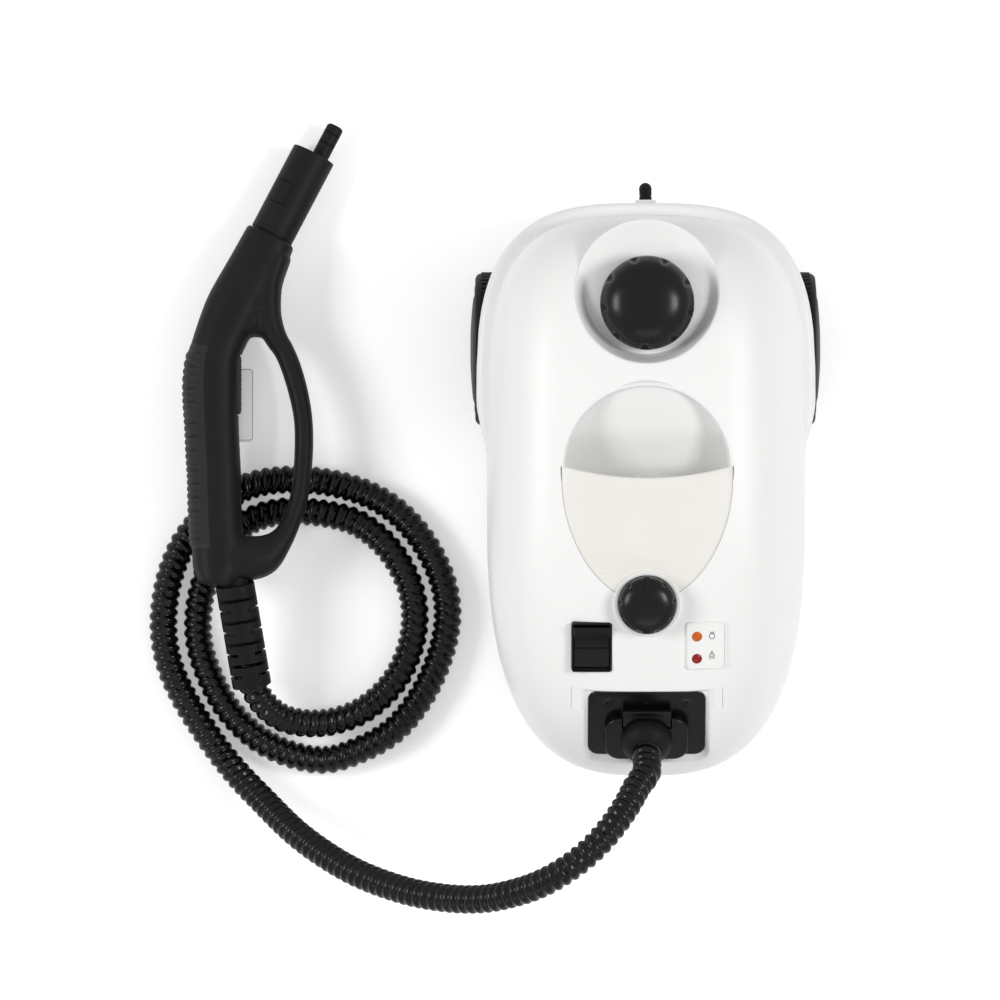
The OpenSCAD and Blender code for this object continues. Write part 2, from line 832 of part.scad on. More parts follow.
module socket_surround() {
    ear_floor = tray_floor / 2;
    color("white") machine() intersection() {
        hood_block(0, 0);
        at_socket() difference() {
            recess(tray_t, tray_floor - tray_t, ear_floor - tray_t, tray_w);
            recess(0, tray_floor, ear_floor, tray_w + 1);
            translate([0, plug_dy, tray_floor - tray_t - 1])
                cylinder(r = panel_boss_r + seat_gap, h = tray_t + 2);
        }
    }
}

module at_socket_screws() {
    at_socket() for (s = [-1, 1])
        translate([s * socket_screw_at[0], socket_screw_at[1], -panel_sink - screw_head_t]) children();
}

module socket_panel() {
    color("black") machine() difference() {
        at_socket() {
            translate([0, 0, tray_floor]) round_plate(panel_w, panel_l, panel_t, panel_round);
            translate([0, plug_dy, tray_floor - panel_boss_l])
                cylinder(r = panel_boss_r, h = panel_boss_l);
        }
        at_socket() translate([0, plug_dy, -panel_sink - plug_sink])
            round_plate(plug_w + 2 * seat_gap, plug_l + 2 * seat_gap, panel_t, plug_round);
        at_socket() translate([0, plug_dy, tray_floor - panel_boss_l - 1])
            cylinder(r = hose_bore / 2, h = panel_boss_l + panel_t);
        at_socket_screws() {
            cylinder(r = screw_head_r + seat_gap, h = panel_t);
            translate([0, 0, -panel_t]) cylinder(r = screw_r + run_gap, h = panel_t + 1);
        }
    }
}

module socket_screws() {
    color("dimgray") machine() at_socket_screws() {
        cylinder(r = screw_head_r, h = screw_head_t);
        translate([0, 0, screw_head_t - panel_t]) cylinder(r = screw_r, h = panel_t - screw_head_t);
    }
}

module at_plug() {
    at_socket() translate([0, plug_dy, -panel_sink - plug_sink]) children();
}

module hose_plug() {
    color("black") machine() at_plug() difference() {
        round_plate(plug_w, plug_l, plug_t, plug_round);
        translate([0, 0, -1]) cylinder(r = hose_bore / 2, h = plug_t + 2);
        translate([0, plug_l / 2 - latch_l - move_gap, plug_t - latch_t - latch_travel])
            translate([-latch_w / 2 - move_gap, 0, 0]) cube([latch_w + 2 * move_gap, plug_l, plug_t]);
    }
}

module plug_latch() {
    color("black") machine() at_plug()
        translate([-latch_w / 2, plug_l / 2 - latch_l, plug_t - latch_t + move_gap / 2])
        cube([latch_w, 2 * latch_l - 1, latch_t - move_gap]);
}

module plug_boot() {
    color("black") machine() at_plug() translate([0, 0, plug_t]) difference() {
        turned(boot_r, boot_h, boot_round, false);
        translate([0, 0, -1]) cylinder(r = hose_bore / 2, h = boot_h + 2);
    }
}

// Boiler and what is on it

module along_boiler() {
    translate([0, boiler_y0, boiler_z]) rotate([-90, 0, 0]) children();
}

module boiler_block(inset) {
    along_boiler() translate([0, 0, inset])
        turned(boiler_r - inset, boiler_l - 2 * inset, boiler_round - inset, true);
}

element_z = boiler_z - 6;

module boiler() {
    color("silver") machine() difference() {
        boiler_block(0);
        boiler_block(boiler_t);
        translate([0, cap_y, boiler_z]) cylinder(r = stopper_r + neck_gap, h = 2 * boiler_r);
        along_y(0, boiler_y0 - 1, element_z) cylinder(r = element_x + element_r + 1, h = boiler_t + 2);
        along_y(inlet_x, boiler_y0 - 1, boiler_z + inlet_dz) cylinder(r = pipe_r / 2, h = boiler_t + 2);
    }
}

module boiler_cradle() {
    color("dimgray") machine() difference() {
        for (y = cradle_y) translate([-cradle_w / 2, y, base_z + plate_t])
            cube([cradle_w, cradle_t, cradle_h]);
        boiler_block(0);
    }
}

module heating_element() {
    color("slategray") machine() {
        along_y(0, boiler_y0 - flange_t, element_z) cylinder(r = flange_r, h = flange_t);
        both_sides() along_y(element_x, boiler_y0 - 1, element_z)
            cylinder(r = element_r, h = element_l + 1);
        translate([0, boiler_y0 + element_l, element_z])
            rotate_extrude(angle = 180) translate([element_x, 0]) circle(element_r);
    }
}

module thermostat() {
    color("black") machine() difference() {
        translate([0, thermostat_y, boiler_z]) cylinder(r = thermostat_r, h = boiler_r + thermostat_h);
        boiler_block(0);
    }
}

module filler_neck() {
    color("silver") machine() difference() {
        translate([0, cap_y, boiler_z]) cylinder(r = neck_r, h = neck_top - boiler_z);
        translate([0, cap_y, boiler_z - 1]) cylinder(r = stopper_r + neck_gap, h = neck_top);
        boiler_block(0);
    }
}

neck_top = dish_z + 6;
seal_z = neck_top + seat_gap;
cap_roof = seal_z + seal_t + seat_gap;

module boiler_cap() {
    color("black") machine() translate([0, cap_y, cap_z]) difference() {
        intersection() {
            cylinder(r = cap_r, h = cap_h);
            translate([0, 0, cap_h - cap_dome_r]) sphere(cap_dome_r);
        }
        for (k = [1 : cap_flutes]) rotate([0, 0, 360 * k / cap_flutes])
            translate([cap_r + flute_r - flute_depth, 0, cap_skirt]) cylinder(r = flute_r, h = cap_h);
        translate([0, 0, -1]) cylinder(r = neck_r + move_gap, h = cap_roof - cap_z + 1);
    }
}

module cap_plug() {
    color("dimgray") machine() translate([0, cap_y, neck_top - stopper_l])
        cylinder(r = stopper_r, h = cap_roof - neck_top + stopper_l);
}

module cap_seal() {
    color("firebrick") machine() translate([0, cap_y, seal_z]) difference() {
        cylinder(r = neck_r, h = seal_t);
        translate([0, 0, -1]) cylinder(r = stopper_r + seat_gap, h = seal_t + 2);
    }
}

// Valve, pipes and terminals

module pipe(points) {
    for (i = [0 : len(points) - 2]) {
        step = points[i + 1] - points[i];
        translate(points[i]) rotate([0, acos(step[2] / norm(step)), atan2(step[1], step[0])])
            cylinder(r = pipe_r, h = norm(step));
        if (i > 0) translate(points[i]) sphere(pipe_knee_r);
    }
}

module solenoid_valve() {
    half = solenoid_w / 2;
    color("darkgoldenrod") machine() {
        translate([solenoid_x - half, solenoid_y - half, solenoid_z])
            cube([solenoid_w, solenoid_w, solenoid_h]);
        translate([solenoid_x - half, solenoid_y - half, base_z + plate_t])
            cube([solenoid_w, wall, solenoid_z - base_z - plate_t + wall]);
    }
}

module steam_pipe() {
    back = [0, sin(panel_tilt), -cos(panel_tilt)];
    across = [0, cos(panel_tilt), sin(panel_tilt)];
    socket = [0, panel_y, hood_z(0, panel_y)] + across * plug_dy + back * (panel_boss_l - tray_floor);
    valve_top = [solenoid_x, solenoid_y, solenoid_z + solenoid_h];
    feed_z = boiler_z + inlet_dz;
    color("peru") machine() {
        pipe([valve_top, valve_top + [0, 0, pipe_rise], socket + back * pipe_back, socket]);
        pipe([
            [inlet_x, boiler_y0, feed_z], [inlet_x, solenoid_y, feed_z],
            [solenoid_x - solenoid_w / 2, solenoid_y, feed_z]
        ]);
    }
}

module terminal_block() {
    color("ivory") machine() translate([terminal_x, terminal_y, base_z + plate_t])
        translate(-[terminal_size[0], terminal_size[1], 0] / 2) cube(terminal_size);
}

module gland_path(r, over) {
    along_y(0, rear_y - 2 * wall - over, gland_z) cylinder(r = r, h = 2 * wall + collar_l + over);
    translate([0, rear_y + collar_l, gland_z - gland_bend]) rotate([90, 0, 90])
        rotate_extrude(angle = 90) translate([gland_bend, 0]) circle(r);
    translate([0, rear_y + collar_l + gland_bend, gland_z - gland_bend - gland_drop - over])
        cylinder(r = r, h = gland_drop + over);
}

module cord_gland() {
    color("black") machine() difference() {
        gland_path(gland_r, 0);
        gland_path(gland_bore_r, 1);
    }
}

module gland_collar() {
    color("white") machine() difference() {
        along_y(0, rear_y, gland_z) cylinder(r = collar_r, h = collar_l);
        along_y(0, rear_y - 1, gland_z) cylinder(r = gland_r + run_gap, h = collar_l + 2);
    }
}

// Wheels

rim_r = wheel_r - tyre_t;
rim_dish = 3;
dome_parts = 720;
tyre_round = 5;
castor_round = 3;

module at_wheel(side) {
    machine() mirror([side < 0 ? 1 : 0, 0, 0])
        along_x(track_w / 2 - wheel_w, wheel_y, wheel_z) children();
}

module tyre(side) {
    at_wheel(side) difference() {
        turned(wheel_r, wheel_w - rim_dish, tyre_round, true);
        translate([0, 0, -1]) cylinder(r = rim_r, h = wheel_w + 2);
    }
}

module wheel(side) {
    dome_r = (pow(rim_r, 2) + pow(rim_dish, 2)) / (2 * rim_dish);
    at_wheel(side) difference() {
        rotate_extrude() intersection() {
            square([rim_r, wheel_w]);
            translate([0, wheel_w - dome_r]) circle(dome_r, $fn = dome_parts);
        }
        difference() {
            translate([0, 0, -1]) cylinder(r = rim_r - wall, h = wheel_w - 2 * wall - clip_depth + 1);
            cylinder(r = hub_r, h = wheel_w);
        }
        translate([0, 0, -1]) cylinder(r = axle_r + run_gap, h = wheel_w + 2);
        translate([0, 0, wheel_w - clip_depth]) cylinder(r = clip_r + move_gap, h = wheel_w);
    }
}

module left_tyre() {
    color("black") tyre(-1);
}

module left_wheel() {
    color("dimgray") wheel(-1);
}

module right_tyre() {
    color("black") tyre(1);
}

module right_wheel() {
    color("dimgray") wheel(1);
}

clip_z = wheel_w - clip_depth + move_gap;

module wheel_axles() {
    color("silver") for (side = [-1, 1]) at_wheel(side)
        translate([0, 0, cup_x - wall - boss_l - track_w / 2 + wheel_w])
        cylinder(r = axle_r, h = track_w / 2 - cup_x + wall + boss_l - 1);
}

module axle_clips() {
    color("silver") for (side = [-1, 1]) at_wheel(side) translate([0, 0, clip_z]) difference() {
        cylinder(r = clip_r, h = clip_t);
        translate([0, 0, -1]) cylinder(r = axle_r, h = clip_t + 2);
    }
}

// Castor

module at_castor(z) {
    machine() translate([0, castor_y, z]) children();
}

module castor_bush() {
    color("silver") at_castor(pocket_z) difference() {
        union() {
            cylinder(r = bush_r, h = stem_l);
            translate([0, 0, plate_t]) cylinder(r = bush_r + crown_t, h = crown_t / 2);
        }
        translate([0, 0, -1]) cylinder(r = stem_r + run_gap, h = stem_l + 2);
    }
}

module castor_fork() {
    leg_r = castor_axle_r + 3;
    color("gray") at_castor(0) {
        translate([0, 0, fork_top + crown_t - 1]) cylinder(r = stem_r, h = stem_l + 1);
        translate([-fork_out, -leg_r, fork_top]) cube([2 * fork_out, castor_trail + 2 * leg_r, crown_t]);
        both_sides() difference() {
            union() {
                along_x(fork_out - fork_t, castor_trail, castor_z) cylinder(r = leg_r, h = fork_t);
                translate([fork_out - fork_t, castor_trail - leg_r, castor_z])
                    cube([fork_t, 2 * leg_r, fork_top - castor_z + 1]);
            }
            along_x(0, castor_trail, castor_z) cylinder(r = castor_axle_r + run_gap, h = 2 * fork_out);
        }
    }
}

module castor_wheel() {
    color("black") at_castor(castor_z) along_x(-castor_w / 2, castor_trail, 0) difference() {
        turned(castor_r, castor_w, castor_round, true);
        translate([0, 0, -1]) cylinder(r = castor_axle_r + run_gap, h = castor_w + 2);
    }
}

module castor_axle() {
    color("silver") at_castor(castor_z) along_x(-fork_out, castor_trail, 0)
        cylinder(r = castor_axle_r, h = 2 * fork_out);
}

// Steam gun

module at_gun() {
    translate(gun_at) rotate([-gun_tilt, 0, 0]) children();
}

function line_dir(line, i) =
    let (a = line[max(i - 1, 0)], b = line[min(i + 1, len(line) - 1)])
    unit([b[0] - a[0], b[1] - a[1], 0]);

// Oval section of a gun limb at one point of its line, between two angles
function limb_ring(line, i, t, inset, angles, parts) =
    let (d = line_dir(line, i), side = [-d[1], d[0], 0])
    [for (k = [0 : parts])
        let (a = angles[0] + (angles[1] - angles[0]) * k / parts)
        [line[i][0], line[i][1], 0] + side * (line[i][2] - inset) * spow(cos(a), 2 / gun_n)
        + [0, 0, (t / 2 - inset) * spow(sin(a), 2 / gun_n)]];

module half_limb(line, t, side) {
    angles = side > 0 ? [0, 180] : [180, 360];
    loft([for (i = [0 : len(line) - 1]) limb_ring(line, i, t, 0, angles, gun_parts)]);
}

module limb_hollow(line, t) {
    turn = [0, 360 - 180 / gun_parts];
    loft([for (i = [1 : len(line) - 2]) limb_ring(line, i, t, gun_wall, turn, 2 * gun_parts - 1)]);
}

// Along the nozzle, from its mouth towards the grip
module along_nozzle() {
    rotate([0, 0, atan2(nose_dir[1], nose_dir[0])]) rotate([0, -90, 0]) children();
}

module along_sleeve() {
    flat = norm([sleeve_dir[0], sleeve_dir[1]]);
    translate(sleeve_at)
        rotate([0, atan2(flat, sleeve_dir[2]), atan2(sleeve_dir[1], sleeve_dir[0])]) children();
}

trigger_pivot = [trigger_u - trigger_d / 2 - trigger_boss_r / 4, trigger_v - trigger_pin_in];
trigger_pin_l = trigger_t / 2 + 2.5;
micro_at = [-68, -162];
web_t = (gun_t + guard_t) / 2;
boss_end = gun_t / 2 - gun_wall / 2;
gun_screw_hold = 8;
nozzle_free = 20;

module gun_cuts() {
    slot = trigger_t / 2 + move_gap;
    along_nozzle()
        translate([0, 0, nozzle_l - nozzle_free])
        cylinder(r = nozzle_r - nozzle_step + run_gap, h = nozzle_free + nozzle_in);
    translate([trigger_u - 2 * trigger_d, trigger_v - trigger_l - 2 * move_gap, -slot])
        cube([3 * trigger_d, trigger_l + 4 * move_gap, 2 * slot]);
    translate([plate_u[0] - seat_gap, plate_v[0] - seat_gap, plate_z[0] - seat_gap])
        cube([plate_u[1] - plate_u[0] + 2 * seat_gap, plate_v[1] - plate_v[0] + 2 * seat_gap,
            plate_z[1] - plate_z[0] + 2 * seat_gap]);
    translate([trigger_pivot[0], trigger_pivot[1], -trigger_pin_l - seat_gap])
        cylinder(r = trigger_pin_r + run_gap, h = 2 * trigger_pin_l + 2 * seat_gap);
    for (p = gun_screw_at) translate([p[0], p[1], 0]) {
        translate([0, 0, -boss_end])
            cylinder(r = gun_screw_r + run_gap, h = boss_end + gun_screw_hold + 1);
        translate([0, 0, -gun_t])
            cylinder(r = screw_head_r + seat_gap, h = gun_t - boss_end + screw_head_t);
    }
}

module gun_shell(side) {
    half = trigger_t / 2 + move_gap;
    difference() {
        at_gun() difference() {
            union() {
                difference() {
                    union() {
                        half_limb(grip_line, gun_t, side);
                        half_limb(guard_line, guard_t, side);
                        half_limb(web_line, web_t, side);
                    }
                    limb_hollow(grip_line, gun_t);
                }
                for (p = gun_screw_at)
                    translate([p[0], p[1], side > 0 ? 0 : -boss_end])
                        cylinder(r = gun_boss_r, h = boss_end);
                intersection() {
                    half_limb(grip_line, gun_t, side);
                    translate([trigger_pivot[0], trigger_pivot[1], side > 0 ? half : -gun_t / 2])
                        cylinder(r = trigger_boss_r, h = gun_t / 2 - half);
                }
                if (side < 0) translate([micro_at[0] + 1, micro_at[1] + 4, -boss_end])
                    cube([micro_size[0] - 2, micro_size[1] - 8, boss_end - micro_size[2] / 2]);
            }
            gun_cuts();
        }
        along_sleeve() {
            translate([0, 0, -2 * sleeve_sink]) cylinder(r = spigot_r + seat_gap, h = 3 * sleeve_sink);
            translate([0, 0, -seat_gap]) cylinder(r = sleeve_r + seat_gap, h = sleeve_l);
        }
    }
}

module gun_shell_upper() {
    color("black") gun_shell(1);
}

module gun_shell_lower() {
    color("black") gun_shell(-1);
}

// Row of the rubber pad at a place along the grip line, standing off the shell by rise
function pad_ring(f, rise, angles, parts) =
    let (i = floor(f), t = f - i)
    let (a = limb_ring(grip_line, i, gun_t, -rise, angles, parts))
    let (b = limb_ring(grip_line, i + 1, gun_t, -rise, angles, parts))
    a * (1 - t) + b * t;

module gun_grip_pad() {
    rows = 2 * pad_ribs;
    color("dimgray") at_gun() loft([for (k = [0 : rows])
        let (f = pad_span[0] + (pad_span[1] - pad_span[0]) * k / rows)
        concat(
            pad_ring(f, seat_gap + pad_t - (k % 2 == 0 ? pad_rib : 0), pad_angle, pad_parts),
            pad_ring(f, seat_gap, [pad_angle[1], pad_angle[0]], pad_parts)
        )], strip = true);
}

module gun_screws() {
    color("silver") at_gun() for (p = gun_screw_at) translate([p[0], p[1], -boss_end]) {
        cylinder(r = screw_head_r, h = screw_head_t);
        cylinder(r = gun_screw_r, h = boss_end + gun_screw_hold);
    }
}

module nozzle_tube() {
    color("black") at_gun() along_nozzle() difference() {
        union() {
            cylinder(r = nozzle_r, h = nozzle_l);
            cylinder(r = nozzle_r - nozzle_step, h = nozzle_l + nozzle_in);
        }
        translate([0, 0, nozzle_web]) cylinder(r = nozzle_bore_r, h = nozzle_l + nozzle_in);
        translate([0, -pin_off, -1]) cylinder(r = pin_r + run_gap, h = nozzle_web + 2);
        difference() {
            tab_block(0);
            tab_block(tab_line);
            cylinder(r = nozzle_r - tab_d, h = nozzle_l);
        }
    }
}

// Block over the latch tab on the nozzle's flank, smaller by a margin all round
module tab_block(margin) {
    rotate([0, 0, tab_turn]) translate([nozzle_bore_r / 2, margin - tab_w / 2, tab_s[0] + margin])
        cube([nozzle_r, tab_w - 2 * margin, tab_s[1] - tab_s[0] - 2 * margin]);
}

module steam_pin() {
    color("black") at_gun() along_nozzle() translate([0, -pin_off, -pin_out]) difference() {
        cylinder(r = pin_r, h = pin_out + nozzle_l);
        translate([0, 0, -1]) cylinder(r = pin_r / 2, h = pin_out + nozzle_l + 2);
        for (s = pin_seal_at) translate([0, 0, s])
            rotate_extrude() translate([pin_r, 0]) circle(pin_seal_r, $fn = 24);
    }
}

module pin_seals() {
    color("black") at_gun() along_nozzle() translate([0, -pin_off, -pin_out])
        for (s = pin_seal_at) translate([0, 0, s])
            rotate_extrude() translate([pin_r, 0]) circle(pin_seal_r, $fn = 24);
}

module trigger() {
    color("dimgray") at_gun() difference() {
        union() {
            translate([trigger_u - trigger_d, trigger_v - trigger_l, -trigger_t / 2])
                cube([trigger_d, trigger_l, trigger_t]);
            translate([trigger_pivot[0], trigger_pivot[1], -trigger_pin_l])
                cylinder(r = trigger_pin_r, h = 2 * trigger_pin_l);
        }
        translate([trigger_pivot[0], trigger_pivot[1], -spring_w / 2]) difference() {
            cylinder(r = spring_r + run_gap, h = spring_w);
            translate([0, 0, -1]) cylinder(r = trigger_pin_r, h = spring_w + 2);
        }
    }
}

module trigger_spring() {
    color("silver") at_gun() translate([trigger_pivot[0], trigger_pivot[1], -spring_w / 2 + run_gap])
        difference() {
            cylinder(r = spring_r, h = spring_w - 2 * run_gap);
            translate([0, 0, -1]) cylinder(r = trigger_pin_r + run_gap, h = spring_w + 2);
        }
}

module trigger_switch() {
    color("dimgray") at_gun() translate([micro_at[0], micro_at[1], -micro_size[2] / 2]) cube(micro_size);
}

module label_plate() {
    color("white") at_gun() translate([plate_u[0], plate_v[0], plate_z[0]])
        cube([plate_u[1] - plate_u[0], plate_v[1] - plate_v[0], plate_z[1] - plate_z[0]]);
}

// Bend relief sleeve and hose

module hose_sleeve() {
    slot_pitch = (sleeve_l - sleeve_first - sleeve_last) / (sleeve_slots - 1);
    color("black") along_sleeve() difference() {
        union() {
            cylinder(r = sleeve_r, h = sleeve_l);
            translate([0, 0, -sleeve_sink]) cylinder(r = spigot_r, h = sleeve_sink + 1);
        }
        translate([0, 0, -sleeve_sink - 1]) cylinder(r = hose_bore / 2, h = sleeve_sink + sleeve_l);
        translate([0, 0, sleeve_l - sleeve_hold])
            cylinder(r = hose_d / 2 + mouth_gap, h = sleeve_hold + 1);
        for (k = [1 : sleeve_slots], s = [-1, 1]) rotate([0, 0, 90 * (k % 2)])
            translate([s * (2 * sleeve_r - sleeve_slot_d), 0, sleeve_first + (k - 1) * slot_pitch])
            cube([2 * sleeve_r, 2 * sleeve_r + 1, sleeve_slot_w], center = true);
    }
}

panel_normal = [0, -sin(panel_tilt), cos(panel_tilt)];
panel_up = [0, cos(panel_tilt), sin(panel_tilt)];
hose_start = [machine_x, machine_y + panel_y, hood_z(0, panel_y)] + panel_up * plug_dy
    + panel_normal * (plug_t + boot_h - panel_sink - plug_sink);
hose_end = sleeve_at + sleeve_dir * (sleeve_l - sleeve_hold);

// Straight run out of the plug, the route by hand, and a straight run into the sleeve
hose_line = concat(
    [hose_start, hose_start + panel_normal * hose_d],
    hose_route,
    [hose_end + sleeve_dir * hose_d, hose_end]
);

function spline_at(p, i, t) =
    let (a = p[i - 1], b = p[i], c = p[i + 1], d = p[i + 2])
    (2 * b + (c - a) * t + (2 * a - 5 * b + 4 * c - d) * t * t + (3 * b - a - 3 * c + d) * t * t * t) / 2;

hose_points = concat(
    [hose_line[0]],
    [for (i = [1 : len(hose_line) - 3], k = [0 : route_parts - 1])
        spline_at(hose_line, i, k / route_parts)],
    [hose_line[len(hose_line) - 2], hose_line[len(hose_line) - 1]]
);

function run_sum(p) = [
    for (i = 0, s = 0; i < len(p); s = s + (i + 1 < len(p) ? norm(p[i + 1] - p[i]) : 0), i = i + 1) s
];
hose_run = run_sum(hose_points);
hose_len = hose_run[len(hose_run) - 1];
hose_table = [for (axis = [0 : 2])
    [for (i = [0 : len(hose_points) - 1]) [hose_run[i], hose_points[i][axis]]]];

function hose_at(s) = [for (axis = [0 : 2]) lookup(s, hose_table[axis])];
function hose_dir(s) = unit(hose_at(min(s + hose_d / 4, hose_len)) - hose_at(max(s - hose_d / 4, 0)));
function hose_ring(s, r) =
    let (d = s < hose_d ? panel_normal : s > hose_len - hose_d ? -sleeve_dir : hose_dir(s))
    let (side = unit(cross(d, [0, 0, 1])), up = cross(side, d))
    [for (k = [0 : 7]) let (a = 22.5 + 45 * k) hose_at(s) + side * r * cos(a) + up * r * sin(a)];

hose_rows = 2 * hose_ribs;
hose_step = hose_len / hose_rows;
hose_centres = [for (k = [0 : 2 : hose_rows]) hose_at(k * hose_step)];
gap_from = ceil(3 * hose_d / (2 * hose_step));
hose_gap = min([for (i = [0 : len(hose_centres) - 1], j = [i + gap_from : len(hose_centres) - 1])
    norm(hose_centres[i] - hose_centres[j])]) - hose_d;

module hose() {
    echo("hose length", hose_len, "least gap to itself", hose_gap);
    color("black") loop_loft(concat(
        [for (k = [0 : hose_rows])
            hose_ring(k * hose_step, hose_d / 2 - (k % 2 == 0 ? rib_depth : 0))],
        [for (k = [hose_rows : -2 * bore_skip : 0]) hose_ring(k * hose_step, hose_bore / 2)]
    ));
}

lower_body();
hood();
base_plate();
base_screws();
filler_dish();
hand_well();
grip_insert();
knob_bezel();
pressure_knob();
regulator_valve();
switch_bezel();
switch_rocker();
indicator_plate();
lens_amber();
lens_red();
socket_surround();
socket_panel();
socket_screws();
hose_plug();
plug_latch();
plug_boot();
hose();
hose_sleeve();
gun_shell_upper();
gun_shell_lower();
gun_grip_pad();
gun_screws();
nozzle_tube();
steam_pin();
pin_seals();
trigger();
trigger_spring();
trigger_switch();
label_plate();
boiler();
boiler_cradle();
heating_element();
thermostat();
solenoid_valve();
steam_pipe();
terminal_block();
filler_neck();
boiler_cap();
cap_plug();
cap_seal();
left_tyre();
left_wheel();
right_tyre();
right_wheel();
wheel_axles();
axle_clips();
castor_bush();
castor_fork();
castor_wheel();
castor_axle();
cord_gland();
gland_collar();
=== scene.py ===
import json
import math

import bmesh
import bpy
from mathutils import Matrix, Vector


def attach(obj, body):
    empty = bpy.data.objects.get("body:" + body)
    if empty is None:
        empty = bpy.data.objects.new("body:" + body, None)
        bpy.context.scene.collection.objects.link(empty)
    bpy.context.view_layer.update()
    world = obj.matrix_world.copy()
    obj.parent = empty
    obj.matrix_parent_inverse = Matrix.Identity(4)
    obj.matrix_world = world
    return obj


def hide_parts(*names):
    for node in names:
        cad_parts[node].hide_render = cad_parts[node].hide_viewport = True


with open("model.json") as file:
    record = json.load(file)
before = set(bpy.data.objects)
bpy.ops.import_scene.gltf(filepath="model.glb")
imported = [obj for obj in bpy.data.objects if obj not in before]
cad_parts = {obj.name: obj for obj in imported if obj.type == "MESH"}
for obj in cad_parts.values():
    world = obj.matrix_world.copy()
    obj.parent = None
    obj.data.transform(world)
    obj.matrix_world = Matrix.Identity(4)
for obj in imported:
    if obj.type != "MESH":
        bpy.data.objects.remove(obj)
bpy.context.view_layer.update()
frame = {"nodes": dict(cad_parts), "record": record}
scene = bpy.context.scene
scene.view_settings.view_transform = "Standard"
MM = 0.001


# Camera: straight above, so far away that heights hardly spread

camera = bpy.data.objects.new("camera", bpy.data.cameras.new("camera"))
camera.location = (-0.00125, -0.03125, 10)
camera.data.sensor_width = 36
camera.data.lens = 36 * 9.9 / 0.625
camera.data.clip_end = 30
scene.collection.objects.link(camera)
scene.camera = camera


# Materials


def linear(colour):
    """sRGB hex to linear colour."""
    values = [int(colour[i : i + 2], 16) / 255 for i in (1, 3, 5)]
    return (*[v / 12.92 if v <= 0.04045 else ((v + 0.055) / 1.055) ** 2.4 for v in values], 1)


def add(tree, kind, inputs=None, **settings):
    """Adds a node with its settings, and fills its inputs with values or with other outputs."""
    made = tree.nodes.new(kind)
    for name, value in settings.items():
        setattr(made, name, value)
    for socket, value in (inputs or {}).items():
        if isinstance(value, bpy.types.NodeSocket):
            tree.links.new(value, made.inputs[socket])
        else:
            made.inputs[socket].default_value = value
    return made


def blank(name):
    """A material with an empty node tree."""
    made = bpy.data.materials.new(name)
    made.use_nodes = True
    made.node_tree.nodes.clear()
    return made, made.node_tree


def moulded(name, tones, rough, cloud_mm, grain_mm, depth_mm, **shader):
    """A moulded skin: two close tones in soft clouds, uneven gloss and a fine raised grain."""
    made, tree = blank(name)
    where = add(tree, "ShaderNodeTexCoord").outputs["Object"]
    cloud = add(tree, "ShaderNodeTexNoise", {"Vector": where, "Scale": 1 / (cloud_mm * MM), "Detail": 3})
    mixed = {0: cloud.outputs[0], 6: linear(tones[0]), 7: linear(tones[1])}
    tone = add(tree, "ShaderNodeMix", mixed, data_type="RGBA")
    grain = add(tree, "ShaderNodeTexNoise", {"Vector": where, "Scale": 1 / (grain_mm * MM), "Detail": 2})
    spread = {"Value": grain.outputs[0], "To Min": rough[0], "To Max": rough[1]}
    gloss = add(tree, "ShaderNodeMapRange", spread)
    bump = add(tree, "ShaderNodeBump", {"Height": grain.outputs[0], "Distance": depth_mm * MM})
    skin = {"Base Color": tone.outputs[2], "Roughness": gloss.outputs[0], "Normal": bump.outputs[0]}
    skin.update({socket.replace("_", " "): value for socket, value in shader.items()})
    surface = add(tree, "ShaderNodeBsdfPrincipled", skin)
    add(tree, "ShaderNodeOutputMaterial", {"Surface": surface.outputs[0]})
    return made


def metal(name, tones, rough, streak_mm, depth_mm):
    """A drawn or turned metal: streaks far longer than they are wide."""
    made, tree = blank(name)
    where = add(tree, "ShaderNodeTexCoord").outputs["Object"]
    long = add(tree, "ShaderNodeMapping", {"Vector": where, "Scale": (1, 0.05, 1)})
    noise = {"Vector": long.outputs[0], "Scale": 1 / (streak_mm * MM), "Detail": 4}
    streak = add(tree, "ShaderNodeTexNoise", noise)
    mixed = {0: streak.outputs[0], 6: linear(tones[0]), 7: linear(tones[1])}
    tone = add(tree, "ShaderNodeMix", mixed, data_type="RGBA")
    spread = {"Value": streak.outputs[0], "To Min": rough[0], "To Max": rough[1]}
    gloss = add(tree, "ShaderNodeMapRange", spread)
    bump = add(tree, "ShaderNodeBump", {"Height": streak.outputs[0], "Distance": depth_mm * MM})
    skin = {"Base Color": tone.outputs[2], "Roughness": gloss.outputs[0], "Normal": bump.outputs[0]}
    surface = add(tree, "ShaderNodeBsdfPrincipled", {**skin, "Metallic": 1.0})
    add(tree, "ShaderNodeOutputMaterial", {"Surface": surface.outputs[0]})
    return made


# Glossy white ABS, polished mould: even colour with a faint orange peel in its reflections
white_abs = moulded(
    "white_abs", ("#F1F1F0", "#EDEDEC"), (0.3, 0.38), 90, 5, 0.004, IOR=1.53, Specular_IOR_Level=0.16
)
# White ABS with a satin mould: the base plate, the lamp plate and the label plate
satin_abs = moulded("satin_white_abs", ("#F0F0EE", "#EAEAE8"), (0.42, 0.52), 30, 0.7, 0.01, IOR=1.53)
# Cream ABS of the carry grip, spark eroded, so that it hardly shines
cream_abs = moulded("cream_abs", ("#E8E6E1", "#E3E0D9"), (0.45, 0.58), 24, 0.8, 0.012, IOR=1.53)
# Polished black ABS: nearly black, with sharp highlights and fine handling marks
black_abs = moulded(
    "polished_black_abs", ("#070708", "#0C0C0D"), (0.2, 0.32), 20, 1.2, 0.003,
    IOR=1.53, Specular_IOR_Level=0.18,
)
